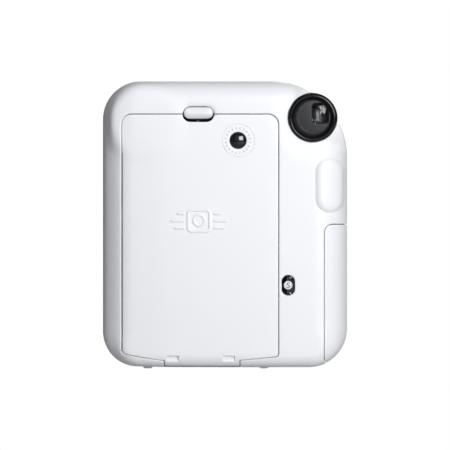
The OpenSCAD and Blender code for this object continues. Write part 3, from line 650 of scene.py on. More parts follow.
def glass(name, tint, rough=0.02, ior=1.49, alpha=0.5):
    """Clear moulded or ground glass: a plain transmission with a faint smear in its roughness, and
    an alpha below one so that part of the light goes straight through."""
    mat = bpy.data.materials.new(name)
    mat.use_nodes = True
    t = mat.node_tree
    shader = t.nodes["Principled BSDF"]
    shader.inputs["Transmission Weight"].default_value = 1.0
    shader.inputs["Metallic"].default_value = 0.0
    shader.inputs["IOR"].default_value = ior
    shader.inputs["Alpha"].default_value = alpha
    where = t.nodes.new("ShaderNodeTexCoord").outputs["Object"]
    hands = node(t, "ShaderNodeGroup", node_tree=HANDLING)
    hands.inputs["Spread"].default_value = 9.0
    t.links.new(where, hands.inputs["Vector"])
    mix = node(t, "ShaderNodeMix", data_type="RGBA")
    t.links.new(hands.outputs["Tone"], mix.inputs["Factor"])
    mix.inputs[COLOUR_A].default_value = (*tint, 1)
    mix.inputs[COLOUR_B].default_value = (*[c * 0.96 for c in tint], 1)
    t.links.new(mix.outputs[COLOUR_OUT], shader.inputs["Base Color"])
    r = node(t, "ShaderNodeMapRange")
    r.inputs["To Min"].default_value = rough * 0.5
    r.inputs["To Max"].default_value = rough * 1.8
    t.links.new(hands.outputs["Smear"], r.inputs["Value"])
    t.links.new(r.outputs[0], shader.inputs["Roughness"])
    return mat


# In the finishes below, the colour given for inner corners is painted shade, laid where the surface
# turns inwards.
WHITE = (0.83, 0.832, 0.845)
shell_white = finish(
    "satin_white_shell", WHITE, tone=(0.815, 0.817, 0.832), rough=0.42, rough_spread=0.05,
    grain=0.32, bump=0.006, wear_and_shade=0.25, rubbed=(0.86, 0.86, 0.86), corner_shade=(0.6, 0.59, 0.58),
)
gloss_white = finish(
    "polished_white", (0.84, 0.84, 0.85), rough=0.16, rough_spread=0.05, grain=0.9, bump=0.002,
    wear_and_shade=0.2, rubbed=(0.87, 0.87, 0.87), corner_shade=(0.55, 0.55, 0.55), coat=0.4,
)
# The marks stand for raised lettering in the white plastic; their grey is painted shade for the
# shadows of the relief.
grey_marks_painted_shade = finish(
    "pale_grey_marks_painted_shade", (0.5, 0.5, 0.51), rough=0.45, grain=0.25, bump=0.004, wear_and_shade=0.2,
)
inner_white = finish(
    "moulded_white_inside", (0.74, 0.74, 0.75), rough=0.5, grain=0.5, bump=0.01, wear_and_shade=0.3,
)
matt_black = finish(
    "fine_matt_black", (0.014, 0.014, 0.015), rough=0.5, rough_spread=0.08, grain=0.22,
    bump=0.02, wear_and_shade=0.5, rubbed=(0.06, 0.06, 0.062), corner_shade=(0.01, 0.01, 0.01),
)
bezel_black = finish(
    "polished_black", (0.005, 0.005, 0.0055), rough=0.14, rough_spread=0.04, grain=0.5, bump=0.002,
    wear_and_shade=0.4, rubbed=(0.02, 0.02, 0.021), Specular_IOR_Level=0.4,
)
eye_black = finish(
    "eyepiece_disc_black", (0.009, 0.009, 0.01), rough=0.44, rough_spread=0.06, grain=0.2,
    bump=0.05, wear_and_shade=0.3, rubbed=(0.03, 0.03, 0.032), Specular_IOR_Level=0.4,
)
# The ribs are of the disc's own plastic; this lighter black is a painted highlight for the light
# that they catch.
rib_black_painted_highlight = finish(
    "rib_black_with_painted_highlight", (0.075, 0.075, 0.08), rough=0.28, grain=0.3, bump=0.004, wear_and_shade=0.8,
    rubbed=(0.12, 0.12, 0.13),
)
inner_black = finish(
    "flocked_inner_black", (0.018, 0.018, 0.018), rough=0.75, grain=0.4, bump=0.03, wear_and_shade=0.2,
)
smoked = finish(
    "smoked_window", (0.003, 0.0035, 0.005), rough=0.12, rough_spread=0.04, grain=2.0, bump=0.001,
    wear_and_shade=0.1, coat=0.2,
)
foam_black = finish(
    "light_seal_foam", (0.02, 0.02, 0.02), rough=0.95, grain=0.5, bump=0.12, wear_and_shade=0.2,
)
steel = finish(
    "bright_steel", (0.55, 0.55, 0.56), rough=0.28, grain=0.25, bump=0.004, metal=1.0, wear_and_shade=0.5,
    rubbed=(0.75, 0.75, 0.76),
)
zinc = finish(
    "plated_can", (0.5, 0.5, 0.5), rough=0.36, grain=0.4, bump=0.006, metal=1.0, wear_and_shade=0.4,
)
brass = finish("turned_brass", (0.62, 0.46, 0.2), rough=0.3, grain=0.3, bump=0.004, metal=1.0)
chrome = finish(
    "satin_chrome", (0.62, 0.62, 0.64), rough=0.17, rough_spread=0.05, grain=0.4, bump=0.002,
    metal=1.0, wear_and_shade=0.3,
)
reflector = finish("flash_reflector", (0.8, 0.8, 0.81), rough=0.12, grain=0.6, bump=0.01, metal=1.0)
mirror = finish(
    "vacuum_coated_mirror", (0.82, 0.83, 0.85), rough=0.05, rough_spread=0.02, grain=1.0,
    bump=0.001, metal=1.0, wear_and_shade=0.1,
)
nylon = finish("natural_nylon", (0.72, 0.7, 0.62), rough=0.45, grain=0.3, bump=0.01)
board_green = finish(
    "circuit_board", (0.015, 0.11, 0.05), tone=(0.01, 0.08, 0.035), rough=0.35, grain=0.8,
    bump=0.02, spread=4.0,
)
chip_black = finish("chip_package", (0.02, 0.02, 0.02), rough=0.55, grain=0.15, bump=0.02)
sleeve = finish("printed_sleeve", (0.05, 0.09, 0.12), rough=0.3, grain=0.8, bump=0.004, coat=0.3)
capacitor_black = finish("shrink_sleeve", (0.012, 0.012, 0.03), rough=0.25, grain=1.5, bump=0.02)
blade_black = finish("blade_film", (0.012, 0.012, 0.012), rough=0.4, grain=0.2, bump=0.004)
dial_black = finish("dial_black", (0.012, 0.012, 0.012), rough=0.35, grain=0.2, bump=0.01)
dial_white = finish("dial_white", (0.82, 0.82, 0.82), rough=0.4, grain=0.2, bump=0.004, wear_and_shade=0.1)
clear_window = glass("clear_window", (0.96, 0.97, 0.98), alpha=0.16)
lens_glass = glass("coated_lens", (0.86, 0.9, 0.96), rough=0.01, ior=1.5, alpha=0.4)
flash_glass = glass("prismatic_flash_cover", (0.95, 0.96, 0.97), rough=0.12)


# ---- shapes used by several pieces ----


def ease(t):
    """0 up to t = 0 and 1 from t = 1: three times t squared less twice t cubed in between."""
    t = np.clip(t, 0, 1)
    return t * t * (3 - 2 * t)


def capsule_distance(xz, a, b):
    """Distance of each point from the straight piece from a to b."""
    a, b = np.asarray(a, float), np.asarray(b, float)
    t = np.clip(((xz - a) @ (b - a)) / max((b - a) @ (b - a), 1e-9), 0, 1)
    return np.linalg.norm(xz - a - t[:, None] * (b - a), axis=1)


def box_ring(w, h, r, arc=9, side=5):
    """A rounded rectangle about the origin with a fixed count of points, so that rings of
    different sizes can be joined row by row."""
    r = min(r, w / 2, h / 2)
    out = []
    ends = ((1, -1, -QUARTER), (1, 1, 0.0), (-1, 1, QUARTER), (-1, -1, math.pi))
    for sx, sz, a0 in ends:
        a = a0 + np.linspace(0, QUARTER, arc)
        out.append(
            np.stack([sx * (w / 2 - r) + r * np.cos(a), sz * (h / 2 - r) + r * np.sin(a)], 1)
        )
    path = []
    for k in range(4):
        a, b = out[k][-1], out[(k + 1) % 4][0]
        path += [out[k], a + (b - a) * np.linspace(0, 1, side + 2)[1:-1, None]]
    return np.concatenate(path)


def lofted(rows):
    """Rings of equal count joined row by row, with a fan to a middle point at both ends."""
    rows = [np.asarray(r, float) for r in rows]
    n = len(rows[0])
    points = np.concatenate(rows + [rows[0].mean(0)[None], rows[-1].mean(0)[None]])
    faces = grid_faces(len(rows), n)
    k = np.arange(n)
    top, low = len(rows) * n, (len(rows) - 1) * n
    faces += np.stack([(k + 1) % n, k, np.full(n, top)], 1).tolist()
    faces += np.stack([low + k, low + (k + 1) % n, np.full(n, top + 1)], 1).tolist()
    return points, faces


def facing(ring, centre, y):
    """A flat ring placed square-on at a height along Y, which may differ from point to point."""
    x, z = (ring + centre).T
    return np.stack([x, y + 0 * x, z], 1)


# ---- the two covers and the doors ----

THUMB = (np.array([44.4, 72.2]), np.array([44.4, 83.4]))


def rear_lift(pos):
    """How far the rear surface stands out from the rolled sheet: a slow crown, which is a falling
    parabola along X times one along Z and fades near the eyepiece, a longer slope to the left
    edge, the thumb rest with its round ends and steep flank, and a shallow dish round the latch."""
    x, z = pos[:, 0], pos[:, 2]
    xz = np.stack([x, z], 1)
    face = ease((-23.2 - pos[:, 1]) / 7)
    eye = np.linalg.norm(xz - EYE, axis=1)
    lift = 0.6 * (1 - ((x - 6) / 62) ** 2) * (1 - 0.35 * ((z - 58) / 64) ** 2) * face
    lift *= ease((eye - 10) / 9)
    lift -= 0.75 * ease((-24 - x) / 24) * ease((-23 - pos[:, 1]) / 6) * ease((101 - z) / 15)
    t = np.clip((6.1 - capsule_distance(xz, *THUMB)) / 2.9, 0, 1)
    lift += 1.25 * (1 - (1 - t) ** 2.2) * ease((-pos[:, 1] - 12) / 8)
    dish = capsule_distance(xz, LATCH + [-LATCH_REACH, 0.1], LATCH + [LATCH_REACH, 0.1])
    lift -= 0.4 * (1 - ease((dish - 3.5) / 0.9)) * (z > 107.0)
    return lift


# distances of the rows of points along an edge, and the grid's step away from the edges
ROWS = (0.0, 0.045, 0.11, 0.2, 0.3)
SHEET_STEP = 1.3


def skinned(name, outer, holes, face, lift, rings=(), back=None, shape=None):
    """A moulded wall over an area of the rolled sheet. The outer skin is the sheet lifted along
    its normal, with its edges rounded. The inner skin lies the wall's thickness below the sheet,
    and follows the lift up to 0.4 mm at most."""
    at, tri, away = fill(outer, holes, SHEET_STEP, ROWS, rings)
    pos, normal = roll(at, face)
    up = lift(pos) - rounding(away, ROWS[-1])
    depth = np.full(len(at), WALL) if back is None else back(pos)
    skin = pos + normal * up[:, None]
    under = pos + normal * (np.minimum(lift(pos), 0.4) - depth)[:, None]
    if shape is not None:
        skin, under = shape(skin, 0.0), shape(under, WALL)
    return walled(name, skin, under, tri)


# the film door's hinge axis in Y and Z, and the ends of its tab along X
HINGE = np.array([-29.1, 3.4])
TAB = (-25.6, 6.2)


def door_edge(gap, way):
    """The film door's edge as seen square-on, moved out by a gap: a tall rounded rectangle with a
    bowed lower edge and the hinge tab below it. Its top edge is led round the latch's pill, over
    it for the opening in the cover and under it for the door."""
    low = 1.25 if way > 0 else 1.4
    corners = [
        (-44.1, 107.8), (-44.1, 6.2), (-39.5, 5.75), (-33.0, 4.55), (TAB[0], 3.6), (TAB[0], low),
        (TAB[1], low), (TAB[1], 3.8), (14.0, 4.45), (18.6, 4.95), (22.6, 5.3), (22.6, 107.8),
    ]
    radii = [4.5, 5.0, 9.0, 30.0, 0.5, 0.4, 0.4, 0.5, 30.0, 9.0, 4.4, 4.5]
    loop = grow(anticlockwise(rounded_path(corners, radii, 0.7)), gap)
    top = (loop[:, 1] > 107.0) & (np.abs(loop[:, 0] - LATCH[0]) < 6.9)
    if way < 0:
        loop[:, 0] += 0.4 * ease((-40.5 - loop[:, 0]) / 3)
    first = np.flatnonzero(~top & np.roll(top, 1))[0]
    loop, top = np.roll(loop, -first, 0), np.roll(top, -first)
    a = np.linspace(0.06, QUARTER, 9) * way
    right = LATCH + [LATCH_REACH, 0] + 3.3 * np.stack([np.cos(a), np.sin(a)], 1)
    left = np.stack([2 * LATCH[0] - right[:, 0], right[:, 1]], 1)[::-1]
    return tidy(np.concatenate([loop[~top], right, left]))


# the battery door's lower end, as an angle below level round its corner, and its top edge
LOW_PHI = math.radians(63.6)
BATTERY_TOP = 61.1
AT_LOW = RUNS[0] + LOW_RIGHT[4] * (QUARTER - LOW_PHI)
AT_HIGH = RUNS[0] + RUNS[1] + BATTERY_TOP - LOW_RIGHT[3]


def battery_edge(gap, y_end):
    """The battery door's edge in the sheet's domain, as an open path that starts and ends on the
    side wall at y_end: along the low corner, up the rear face and out along the top."""
    _, _, cx, cz, big = LOW_RIGHT
    a = LOW_PHI + gap / big
    low = np.array([math.cos(a), -math.sin(a)])
    start = from_side([[cx + big * low[0], cz + big * low[1]]], y_end, REAR)[0]
    left = 42.2 - gap
    turn_at = cz + (left - cx) * low[1] / low[0]
    rise = from_seen([(left, z) for z in (turn_at, 6, 8, 10, 12, 14, 17, 30)], REAR)
    top = BATTERY_TOP + gap
    end = from_side([[SIDE_X, top]], y_end, REAR)[0]
    corners = np.concatenate([[start], rise, [[rise[-1, 0], top], end]])
    radii = [0, 2.4] + [0.0] * (len(rise) - 1) + [3.4 + gap, 0]
    return rounded_path(corners, radii, 0.8, closed=False)


def side_run(s0, s1, y, face):
    """The edge on the side walls at one Y, between two distances along the outline."""
    s = np.linspace(s0, s1, int(abs(s1 - s0) / 0.9) + 2)
    return from_side(outline_at(s), y, face)


def top_z(x):
    """Height of the outline above each X, over the flat top and the arc at its left end."""
    _, _, cx, cz, big = HIGH_LEFT
    x = np.asarray(x, float)
    arc = cz + np.sqrt(np.maximum(big**2 - (x - cx) ** 2, 0))
    return np.where(x < cx, arc, TOP_Z)


def latch_rings(distances):
    """Pills about the latch, at the given distances from its middle line."""
    return [from_seen(box_path(LATCH + [0, 0.1], 2 * (LATCH_REACH + d), 2 * d, d, 0.6), REAR)
            for d in distances]


def finder_skirt(points, below):
    """The rear surface drawn out to a flared skirt about the eyepiece wherever it lies behind the
    skirt, and sunk under the eyepiece's ring. The skirt falls by 0.42 times the distance past a
    radius of 10.4 mm, raised to the power 1.35."""
    d = np.linalg.norm(points[:, [0, 2]] - EYE, axis=1)
    cone = -31.3 + below + 0.42 * np.maximum(d - 10.4, 0) ** 1.35
    y = points[:, 1]
    pull = np.clip(y - cone, 0, 9) * ease((-16 - y) / 7)
    y = np.where(d < 10.25, np.maximum(y - pull, -28.5 + below), y - pull)
    return np.stack([points[:, 0], y, points[:, 2]], 1)


def corner_boss(points):
    """The round boss over the top left corner: inside its circle the surface stands 0.35 mm
    higher and takes back 0.62 of the rolled edge's drop, up to a drop of 4 mm."""
    x, y, z = points.T
    d = np.hypot(x + 34.0, z - 105.0)
    w = (1 - ease((d - 12.5) / 7.0)) * ease((-24 - y) / 5)
    return np.stack([x, y - w * (0.35 + 0.62 * np.clip(y + 32, 0, 4)), z], 1)


def rear_shape(points, below):
    """The corner boss and then the eyepiece's skirt, laid over the rear surface."""
    return finder_skirt(corner_boss(points), below)


def rear_wall(pos):
    """Thickness of the rear cover's wall: thin under the hinge tab, whose sweep it clears."""
    reach = np.hypot(pos[:, 1] - HINGE[0], pos[:, 2] - HINGE[1])
    tab = (pos[:, 0] > TAB[0] - 0.6) & (pos[:, 0] < TAB[1] + 0.6) & (reach < 6)
    return np.where(tab, np.clip(reach - 2.5, 0.06, WALL), WALL)


def rear_cover():
    """The rear cover: the rolled sheet down to the parting line, less the doors' areas, the
    eyepiece's hole, the counter's window and the slot that the print leaves by."""
    outer = np.concatenate(
        [
            battery_edge(SEAM, PARTING_Y)[:-1],
            side_run(AT_HIGH + SEAM, ROUND + AT_LOW - SEAM, PARTING_Y, REAR)[:-1],
        ]
    )
    slot_xy = rounded_path(
        [(-39.95, -20.4), (18.45, -20.4), (18.45, -13.6), (-39.95, -13.6)], 0.8, 0.9
    )
    slot = from_side(np.stack([slot_xy[:, 0], top_z(slot_xy[:, 0])], 1), slot_xy[:, 1], REAR)
    holes = [
        from_seen(door_edge(SEAM, 1), REAR),
        from_seen(circle(EYE, 7.0, 64), REAR),
        from_seen(box_path(COUNTER, 5.7, 8.7, 2.85, 0.4), REAR),
        slot,
    ]
    about_eye = (8.6, 10.15, 10.3, 10.7, 11.4, 12.6, 14.4)
    rings = [from_seen(circle(EYE, r, int(7 * r)), REAR) for r in about_eye]
    thumb_mid, thumb_run = (THUMB[0] + THUMB[1]) / 2, THUMB[1][1] - THUMB[0][1]
    for d in (0.4, 1.2, 2.2, 3.4, 4.6, 5.5, 6.1, 6.7):
        rings.append(from_seen(box_path(thumb_mid, 2 * d, thumb_run + 2 * d, d, 0.9), REAR))
    rings += latch_rings((3.5, 3.75, 4.0, 4.4))
    obj = skinned("rear_cover_skin", outer, holes, REAR, rear_lift, rings, rear_wall, rear_shape)
    return piece(obj, "camera_body", shell_white, "rear_cover", slot="shell")


# radius about the hinge axis that the film door's low wall stays outside of, at places along X
RELIEF_X = (-44.6, -44.1, -43.5, -42, -39.1, -25.6, 6.2, 18.1, 20, 21.5, 22.3, 23.1)
RELIEF_R = (8.2, 7.2, 5.65, 4.35, 3.9, 2.45, 2.55, 3.2, 3.45, 4.12, 5.05, 6.6)


def door_wall(pos):
    """Thickness of the film door's wall: it stays outside the round that its low edge sweeps about
    the hinge, and thins to a lip over the hinge tab."""
    x, y, z = pos.T
    r = np.interp(x, RELIEF_X, RELIEF_R)
    dz = z - HINGE[1]
    room = HINGE[0] - y - np.sqrt(np.maximum(r**2 - dz**2, 0))
    tab = (x > TAB[0] - 0.3) & (x < TAB[1] + 0.3)
    low = np.where(tab, np.where(dz > 3.2, WALL, np.clip(0.55 + 0.45 * dz, 0.5, WALL)), room)
    return np.where(dz < 10, np.clip(low, 0.07, WALL), WALL)


def door_groove(points, below):
    """The fine round groove about the film window, cut along Y."""
    if below:
        return points
    d = np.linalg.norm(points[:, [0, 2]] - WINDOW, axis=1)
    cut = 0.42 * ease((d - 6.62) / 0.16) * (1 - ease((d - 7.0) / 0.16))
    return points + np.stack([0 * cut, cut, 0 * cut], 1)


POCKETS = ((-22.2, 4.35), (1.6, 4.35))


def door_shape(points, below):
    """The door's fine features, cut along Y: the groove, and a shallow D-shaped finger pocket over
    each end of the hinge tab, deepest at its flat top."""
    points = corner_boss(door_groove(points, below))
    if below:
        return points
    cut = np.zeros(len(points))
    for x, z in POCKETS:
        dx, dz = np.abs(points[:, 0] - x), points[:, 2] - z
        wall = ease((2.55 - dx) / 0.35) * ease((1.25 - dz) / 0.3) * ease((dz + 1.45) / 1.2)
        cut += 0.8 * wall
    return points + np.stack([0 * cut, cut, 0 * cut], 1)


def film_door():
    """The film door, with the round hole for its window, the groove about it, and the knuckle and
    web that hold it on the hinge pin."""
    outer = from_seen(door_edge(0.0, -1), REAR)
    rings = [circle(WINDOW, r, 84) for r in (6.3, 6.62, 6.7, 6.8, 6.98, 7.08, 7.18, 7.6)]
    rings += latch_rings((3.75, 4.0, 4.4))
    for x, z in POCKETS:
        for w, h in ((5.2, 2.7), (4.8, 2.4), (4.2, 2.0), (3.4, 1.4), (2.2, 0.6)):
            rings.append(from_seen(box_path([x, z - 0.1], w, h, 0.5, 0.3), REAR))
    hole = circle(WINDOW, 3.6, 60)
    obj = skinned(
        "film_door_skin", outer, [hole], REAR, rear_lift, rings, door_wall, door_shape
    )
    piece(obj, "film_door_body", shell_white, "film_door", slot="shell")
    r = np.array([0.82, 1.0, 1.6, 1.75, 1.75, 1.6, 1.0, 0.82])
    h = np.array([TAB[0], TAB[0], TAB[0], TAB[0] + 0.15, TAB[1] - 0.15, TAB[1], TAB[1], TAB[1]])
    knuckle = spun(np.stack([r, h], 1), HINGE, 40, "x")
    web = [facing(box_ring(31.4, 4.2, 0.3, 3, 12), (-9.7, 5.5), y) for y in (-31.1, -30.0)]
    obj = make("film_door_knuckle", *merged([knuckle, lofted(web)]))
    return piece(obj, "film_door_body", inner_white, slot="shell")


def battery_door():
    """The battery door, round the low right corner, with its knuckle along the side and a short
    thumb ridge."""
    front = side_run(AT_HIGH, AT_LOW, 1.0, REAR)
    outer = np.concatenate([battery_edge(0.0, 1.0)[:-1], front[:-1]])
    obj = skinned("battery_door_skin", outer, [], REAR, rear_lift)
    piece(obj, "battery_door_body", shell_white, "battery_door", slot="shell")
    r = np.array([0.52, 1.0, 1.1, 1.1, 1.0, 0.52])
    h = np.array([15.3, 15.3, 15.4, 61.0, 61.1, 61.1])
    knuckle = spun(np.stack([r, h], 1), (50.8, 1.0), 32, "z")
    bars = []
    for z in (48.2, 50.6, 53.0, 56.4):
        wide = 5.6 if z < 56 else 2.2
        path = np.linspace([51.75, -14 - wide, z], [51.75, -14 + wide, z], 30)
        bars.append(carried(path, (1.0, 0.0, 0.0), oval(0.4, 0.25, 14), closed=False, taper=0.6))
    obj = make("battery_door_grips", *merged([knuckle] + bars))
    return piece(obj, "battery_door_body", shell_white, slot="shell")


# the lens boss's profile: radii from the lens axis and the height along Y at each
BOSS_R = (27.9, 29.5, 31.4, 31.8, 31.95, 32.15, 32.5, 32.9, 33.15, 33.5, 34.4, 35.2, 35.7, 36.1, 37)
BOSS_Y = (18.6, 18.6, 18.6, 18.6, 19.6, 19.94, 20, 19.9, 19.5, 18.6, 16.2, 14.2, 13.2, 12.4, 8)


def lens_boss(points, below):
    """The front face raised to the round boss about the lens ring: its height is the larger of the
    face and the boss's own profile, which depends on the distance from the lens axis alone. Over
    1.2 mm about the place where they meet, one is blended into the other."""
    d = np.linalg.norm(points[:, [0, 2]] - LENS, axis=1)
    y = np.interp(d, BOSS_R, BOSS_Y) - below
    flat = points[:, 1]
    share = np.clip(0.5 + (y - flat) / 1.2, 0, 1)
    raised = flat + (y - flat) * share + 0.6 * share * (1 - share)
    return np.stack([points[:, 0], np.where(d < BOSS_R[-1], raised, flat), points[:, 2]], 1)


def front_lift(pos):
    """A slow crown over the front face: a falling parabola along X times one along Z."""
    x, z = pos[:, 0], pos[:, 2]
    face = ease((pos[:, 1] - 2) / 9)
    return 0.35 * (1 - (x / 60) ** 2) * (1 - 0.3 * ((z - 60) / 62) ** 2) * face


def front_cover():
    """The front cover: the rolled sheet from the parting line forward, stepped back round the
    battery door, with openings for the lens, the flash, the finder, the button and the sensors."""
    step_y = 1.0 + SEAM
    outer = np.concatenate(
        [
            side_run(AT_HIGH + SEAM, ROUND + AT_LOW - SEAM, PARTING_Y, FRONT),
            side_run(AT_LOW - SEAM, AT_HIGH + SEAM, step_y, FRONT),
        ]
    )
    pockets = []
    for sx in (-1, 1):
        yz = rounded_path([(-3, 76.8), (5, 76.8), (5, 83.2), (-3, 83.2)], 1.4, 0.6)
        side = np.stack([np.full(len(yz), sx * SIDE_X), yz[:, 1]], 1)
        pockets.append(from_side(side, yz[:, 0], FRONT))
    holes = [
        from_seen(circle(LENS, 27.9, 200), FRONT),
        from_seen(box_path(FLASH, 26.3, 20.3, 8.15, 0.7), FRONT),
        from_seen(circle(EYE, 7.0, 60), FRONT),
        from_seen(circle(BUTTON, 8.75, 80), FRONT),
        *[from_seen(box_path(at, 5.2, 3.8, 1.9, 0.4), FRONT) for at in SENSORS],
        *pockets,
    ]
    rings = [from_seen(circle(LENS, r, int(5 * r)), FRONT)
             for r in BOSS_R[1:] + (38.2, 39.4)]
    obj = skinned("front_cover_skin", outer, holes, FRONT, front_lift, rings, None, lens_boss)
    piece(obj, "camera_body", shell_white, "front_cover", slot="shell")
    trays = []
    for sx in (-1, 1):
        rows = []
        for x, more in ((48.6, -1.4), (48.6, -0.3), (48.8, 0), (51.6, 0), (51.6, 0.9), (47.9, 0.9),
                        (47.9, -1.4)):
            ring = box_ring(8.0 + more, 6.4 + more, 1.4, 7, 3)
            side = np.full(len(ring), sx * x)
            rows.append(np.stack([side, STRAP_Y + ring[:, 0], STRAP_Z + ring[:, 1]], 1))
        trays.append(lofted(rows))
    obj = make("strap_pockets", *merged(trays))
    return piece(obj, "camera_body", inner_white, slot="shell")


# ---- the rear's small parts ----


def latch_button():
    """The film door's latch: a polished pill whose top slopes gently up to a crest just below the
    middle and falls away steeply under it. Its rim is rounded over 0.9 mm."""
    rows = [facing(box_ring(12.5, 5.0, 2.5), LATCH + [0, 0.5], -28.4)]
    for inset in (0, 0.03, 0.1, 0.22, 0.4, 0.6, 0.8, 1.0, 1.2, 1.4, 1.6, 1.8, 2.0, 2.2, 2.4):
        ring = box_ring(12.5 - 2 * inset, 5.0 - 2 * inset, 2.5 - inset)
        h = ring[:, 1] + 0.3
        rim_drop = 0.9 - math.sqrt(0.81 - max(0.9 - inset, 0) ** 2)
        y = -33.0 + 0.07 * np.maximum(h, 0) ** 2 + 0.55 * np.maximum(-h, 0) ** 1.4 + rim_drop
        y += 0.02 * np.maximum(np.abs(ring[:, 0]) - 3, 0) ** 2
        rows.append(facing(ring, LATCH + [0, 0.5], y))
    obj = make("latch_button_cap", *lofted(rows))
    return piece(obj, "latch", gloss_white, "latch_button", slot="white_gloss")


OPENING = np.array([40.4, 108.3])


def eyepiece():
    """The finder's eyepiece: a polished turned ring, and in it a fine matt disc with an arc of short
    ribs on its left, lighter than the disc as a painted highlight, and the rounded square opening,
    which has a lip, a throat that narrows and shifts inwards, and at its end a dark sheet of
    painted shade with a small slit whose light stands in for the lens's highlight."""
    ring = [(7.75, -29.0), (7.8, -31.3), (7.95, -31.95), (8.15, -32.25), (8.9, -33.0),
            (9.1, -33.18), (9.35, -33.2), (9.75, -33.05), (10.2, -32.6), (10.48, -32.1),
            (10.6, -31.5), (10.6, -26.0), (10.1, -22.5), (9.4, -20.6), (7.75, -20.6)]
    obj = make("eyepiece_ring", *spun(ring, EYE, 160), crease=50)
    piece(obj, "camera_body", bezel_black, "eyepiece_bezel", slot="black_plastic")
    hole = box_path(OPENING, 6.9, 8.5, 1.5, 0.4)
    rings = [circle(EYE, r, int(6 * r)) for r in (7.0, 7.4)]
    at, tri, away = fill(circle(EYE, 7.9, 110), [hole], 0.7, ROWS, rings)
    d = np.linalg.norm(at - EYE, axis=1)
    edge = np.where(d < 7.4, away, FAR)
    y = -31.75 + 0.45 * (d / 7.9) ** 2 + 0.25 * ease((d - 7.35) / 0.4)
    skin = np.stack([at[:, 0], y + rounding(edge, 0.3), at[:, 1]], 1)
    under = np.stack([at[:, 0], np.full(len(at), -30.4), at[:, 1]], 1)
    obj = walled("eyepiece_disc", skin, under, tri)
    piece(obj, "camera_body", eye_black, slot="black_plastic")
    # The ribs take the lighter black, which is a painted highlight.
    ribs = []
    for a in np.radians(np.arange(128, 252, 6.4)):
        way = np.array([math.cos(a), math.sin(a)])
        xz = EYE + np.linspace(5.7, 7.1, 12)[:, None] * way
        path = np.stack([xz[:, 0], np.linspace(-31.5, -31.38, 12), xz[:, 1]], 1)
        ribs.append(carried(path, REARWARD, oval(0.2, 0.38), closed=False, taper=0.4))
    piece(make("eyepiece_ribs", *merged(ribs)), "camera_body", rib_black_painted_highlight, slot="black_plastic")
    lip = box_path(OPENING, 7.1, 8.7, 1.6, 0.4)
    path = np.stack([lip[:, 0], np.full(len(lip), -31.72), lip[:, 1]], 1)
    lip = carried(path, REARWARD, oval(0.17, 0.17))
    piece(make("eyepiece_lip", *lip), "camera_body", bezel_black, slot="black_plastic")
    # A dark sheet of painted shade put where the finder lies in shade, so that the opening reads
    # black; its small slit lets light through as a stand-in for the lens's highlight.
    at, tri, away = fill(box_path(OPENING - [1.8, 1.4], 6.4, 8.0, 1.0, 0.5),
                         [box_path((39.9, 107.5), 1.9, 4.2, 0.5, 0.3)], 0.8, ROWS)
    mask = [np.stack([at[:, 0], y + rounding(away, 0.3), at[:, 1]], 1) for y in (-20.1, -19.5)]
    piece(walled("finder_painted_shade_sheet", *mask, tri), "camera_body", inner_black,
          slot="black_plastic")
    rows = []
    for w, y in ((6.9, -31.2), (6.5, -30.2), (5.9, -27), (5.7, -22), (6.1, -22), (6.3, -27),
                 (7.1, -30.2), (7.4, -31.2)):
        m = (y + 31.2) / 9.2
        rows.append(facing(box_ring(w, w + 1.6, 1.4), OPENING - m * np.array([2.0, 1.5]), y))
    n = len(rows[0])
    points = np.concatenate(rows)
    obj = make("eyepiece_throat", points, grid_faces(len(rows), n, wrap_rows=True))
    return piece(obj, "camera_body", inner_black, slot="black_plastic")


def on_door(xz):
    """Places on the film door's outer surface, sunk a little into it."""
    pos, _ = roll(xz, REAR)
    pos[:, 1] -= rear_lift(pos) - 0.06
    return pos


def film_window():
    """The film window: a smoked dome with a rolled rim, whose cap falls by 0.075 times the radius
    squared, and the ring of raised marks about it, whose grey is painted shade."""
    cap = [(0, -33.0)]
    for r in (0.7, 1.4, 2.1, 2.7, 3.1):
        cap.append((r, -33.0 + 0.075 * r * r))
    cap += [(3.32, -32.05), (3.46, -31.8), (3.5, -31.4), (3.5, -29.9), (4.6, -29.9), (4.6, -29.0),
            (3.0, -29.0), (0, -29.0)]
    obj = make("film_window_dome", *spun(cap, WINDOW, 96, closed=False), crease=40)
    piece(obj, "film_door_body", smoked, "film_window", slot="dark_window")
    marks = []
    for k in range(20):
        a = 2 * math.pi * (k + 0.5) / 20
        way = np.array([math.cos(a), math.sin(a)])
        xz = WINDOW + np.linspace(4.75, 5.75, 8)[:, None] * way
        marks.append(
            carried(on_door(xz), REARWARD, oval(0.2, 0.3, 8), closed=False, taper=0.25)
        )
    obj = make("film_window_marks", *merged(marks))
    return piece(obj, "film_door_body", grey_marks_painted_shade, slot="shell")


def door_emblem():
    """A raised emblem on the film door, all of one rounded stroke: a rounded square with a ring in
    it, between two runs of three dashes."""
    stroke = oval(0.68, 0.62)
    parts = []
    for loop in (box_path(EMBLEM, 9.2, 9.0, 1.6, 0.3), circle(EMBLEM + [0, 0.2], 2.3, 40)):
        parts.append(carried(on_door(loop), REARWARD, stroke))
    for side in (-1, 1):
        for length, dz in ((3.4, 3.0), (6.2, 0.0), (4.8, -3.0)):
            start = EMBLEM + [side * 6.0, dz]
            dash = np.linspace(start, start + [side * length, 0], 24)
            parts.append(carried(on_door(dash), REARWARD, stroke, closed=False, taper=0.55))
    obj = make("door_emblem", *merged(parts))
    return piece(obj, "film_door_body", shell_white, slot="shell")


DIAL = np.array([33.1, 35.4])


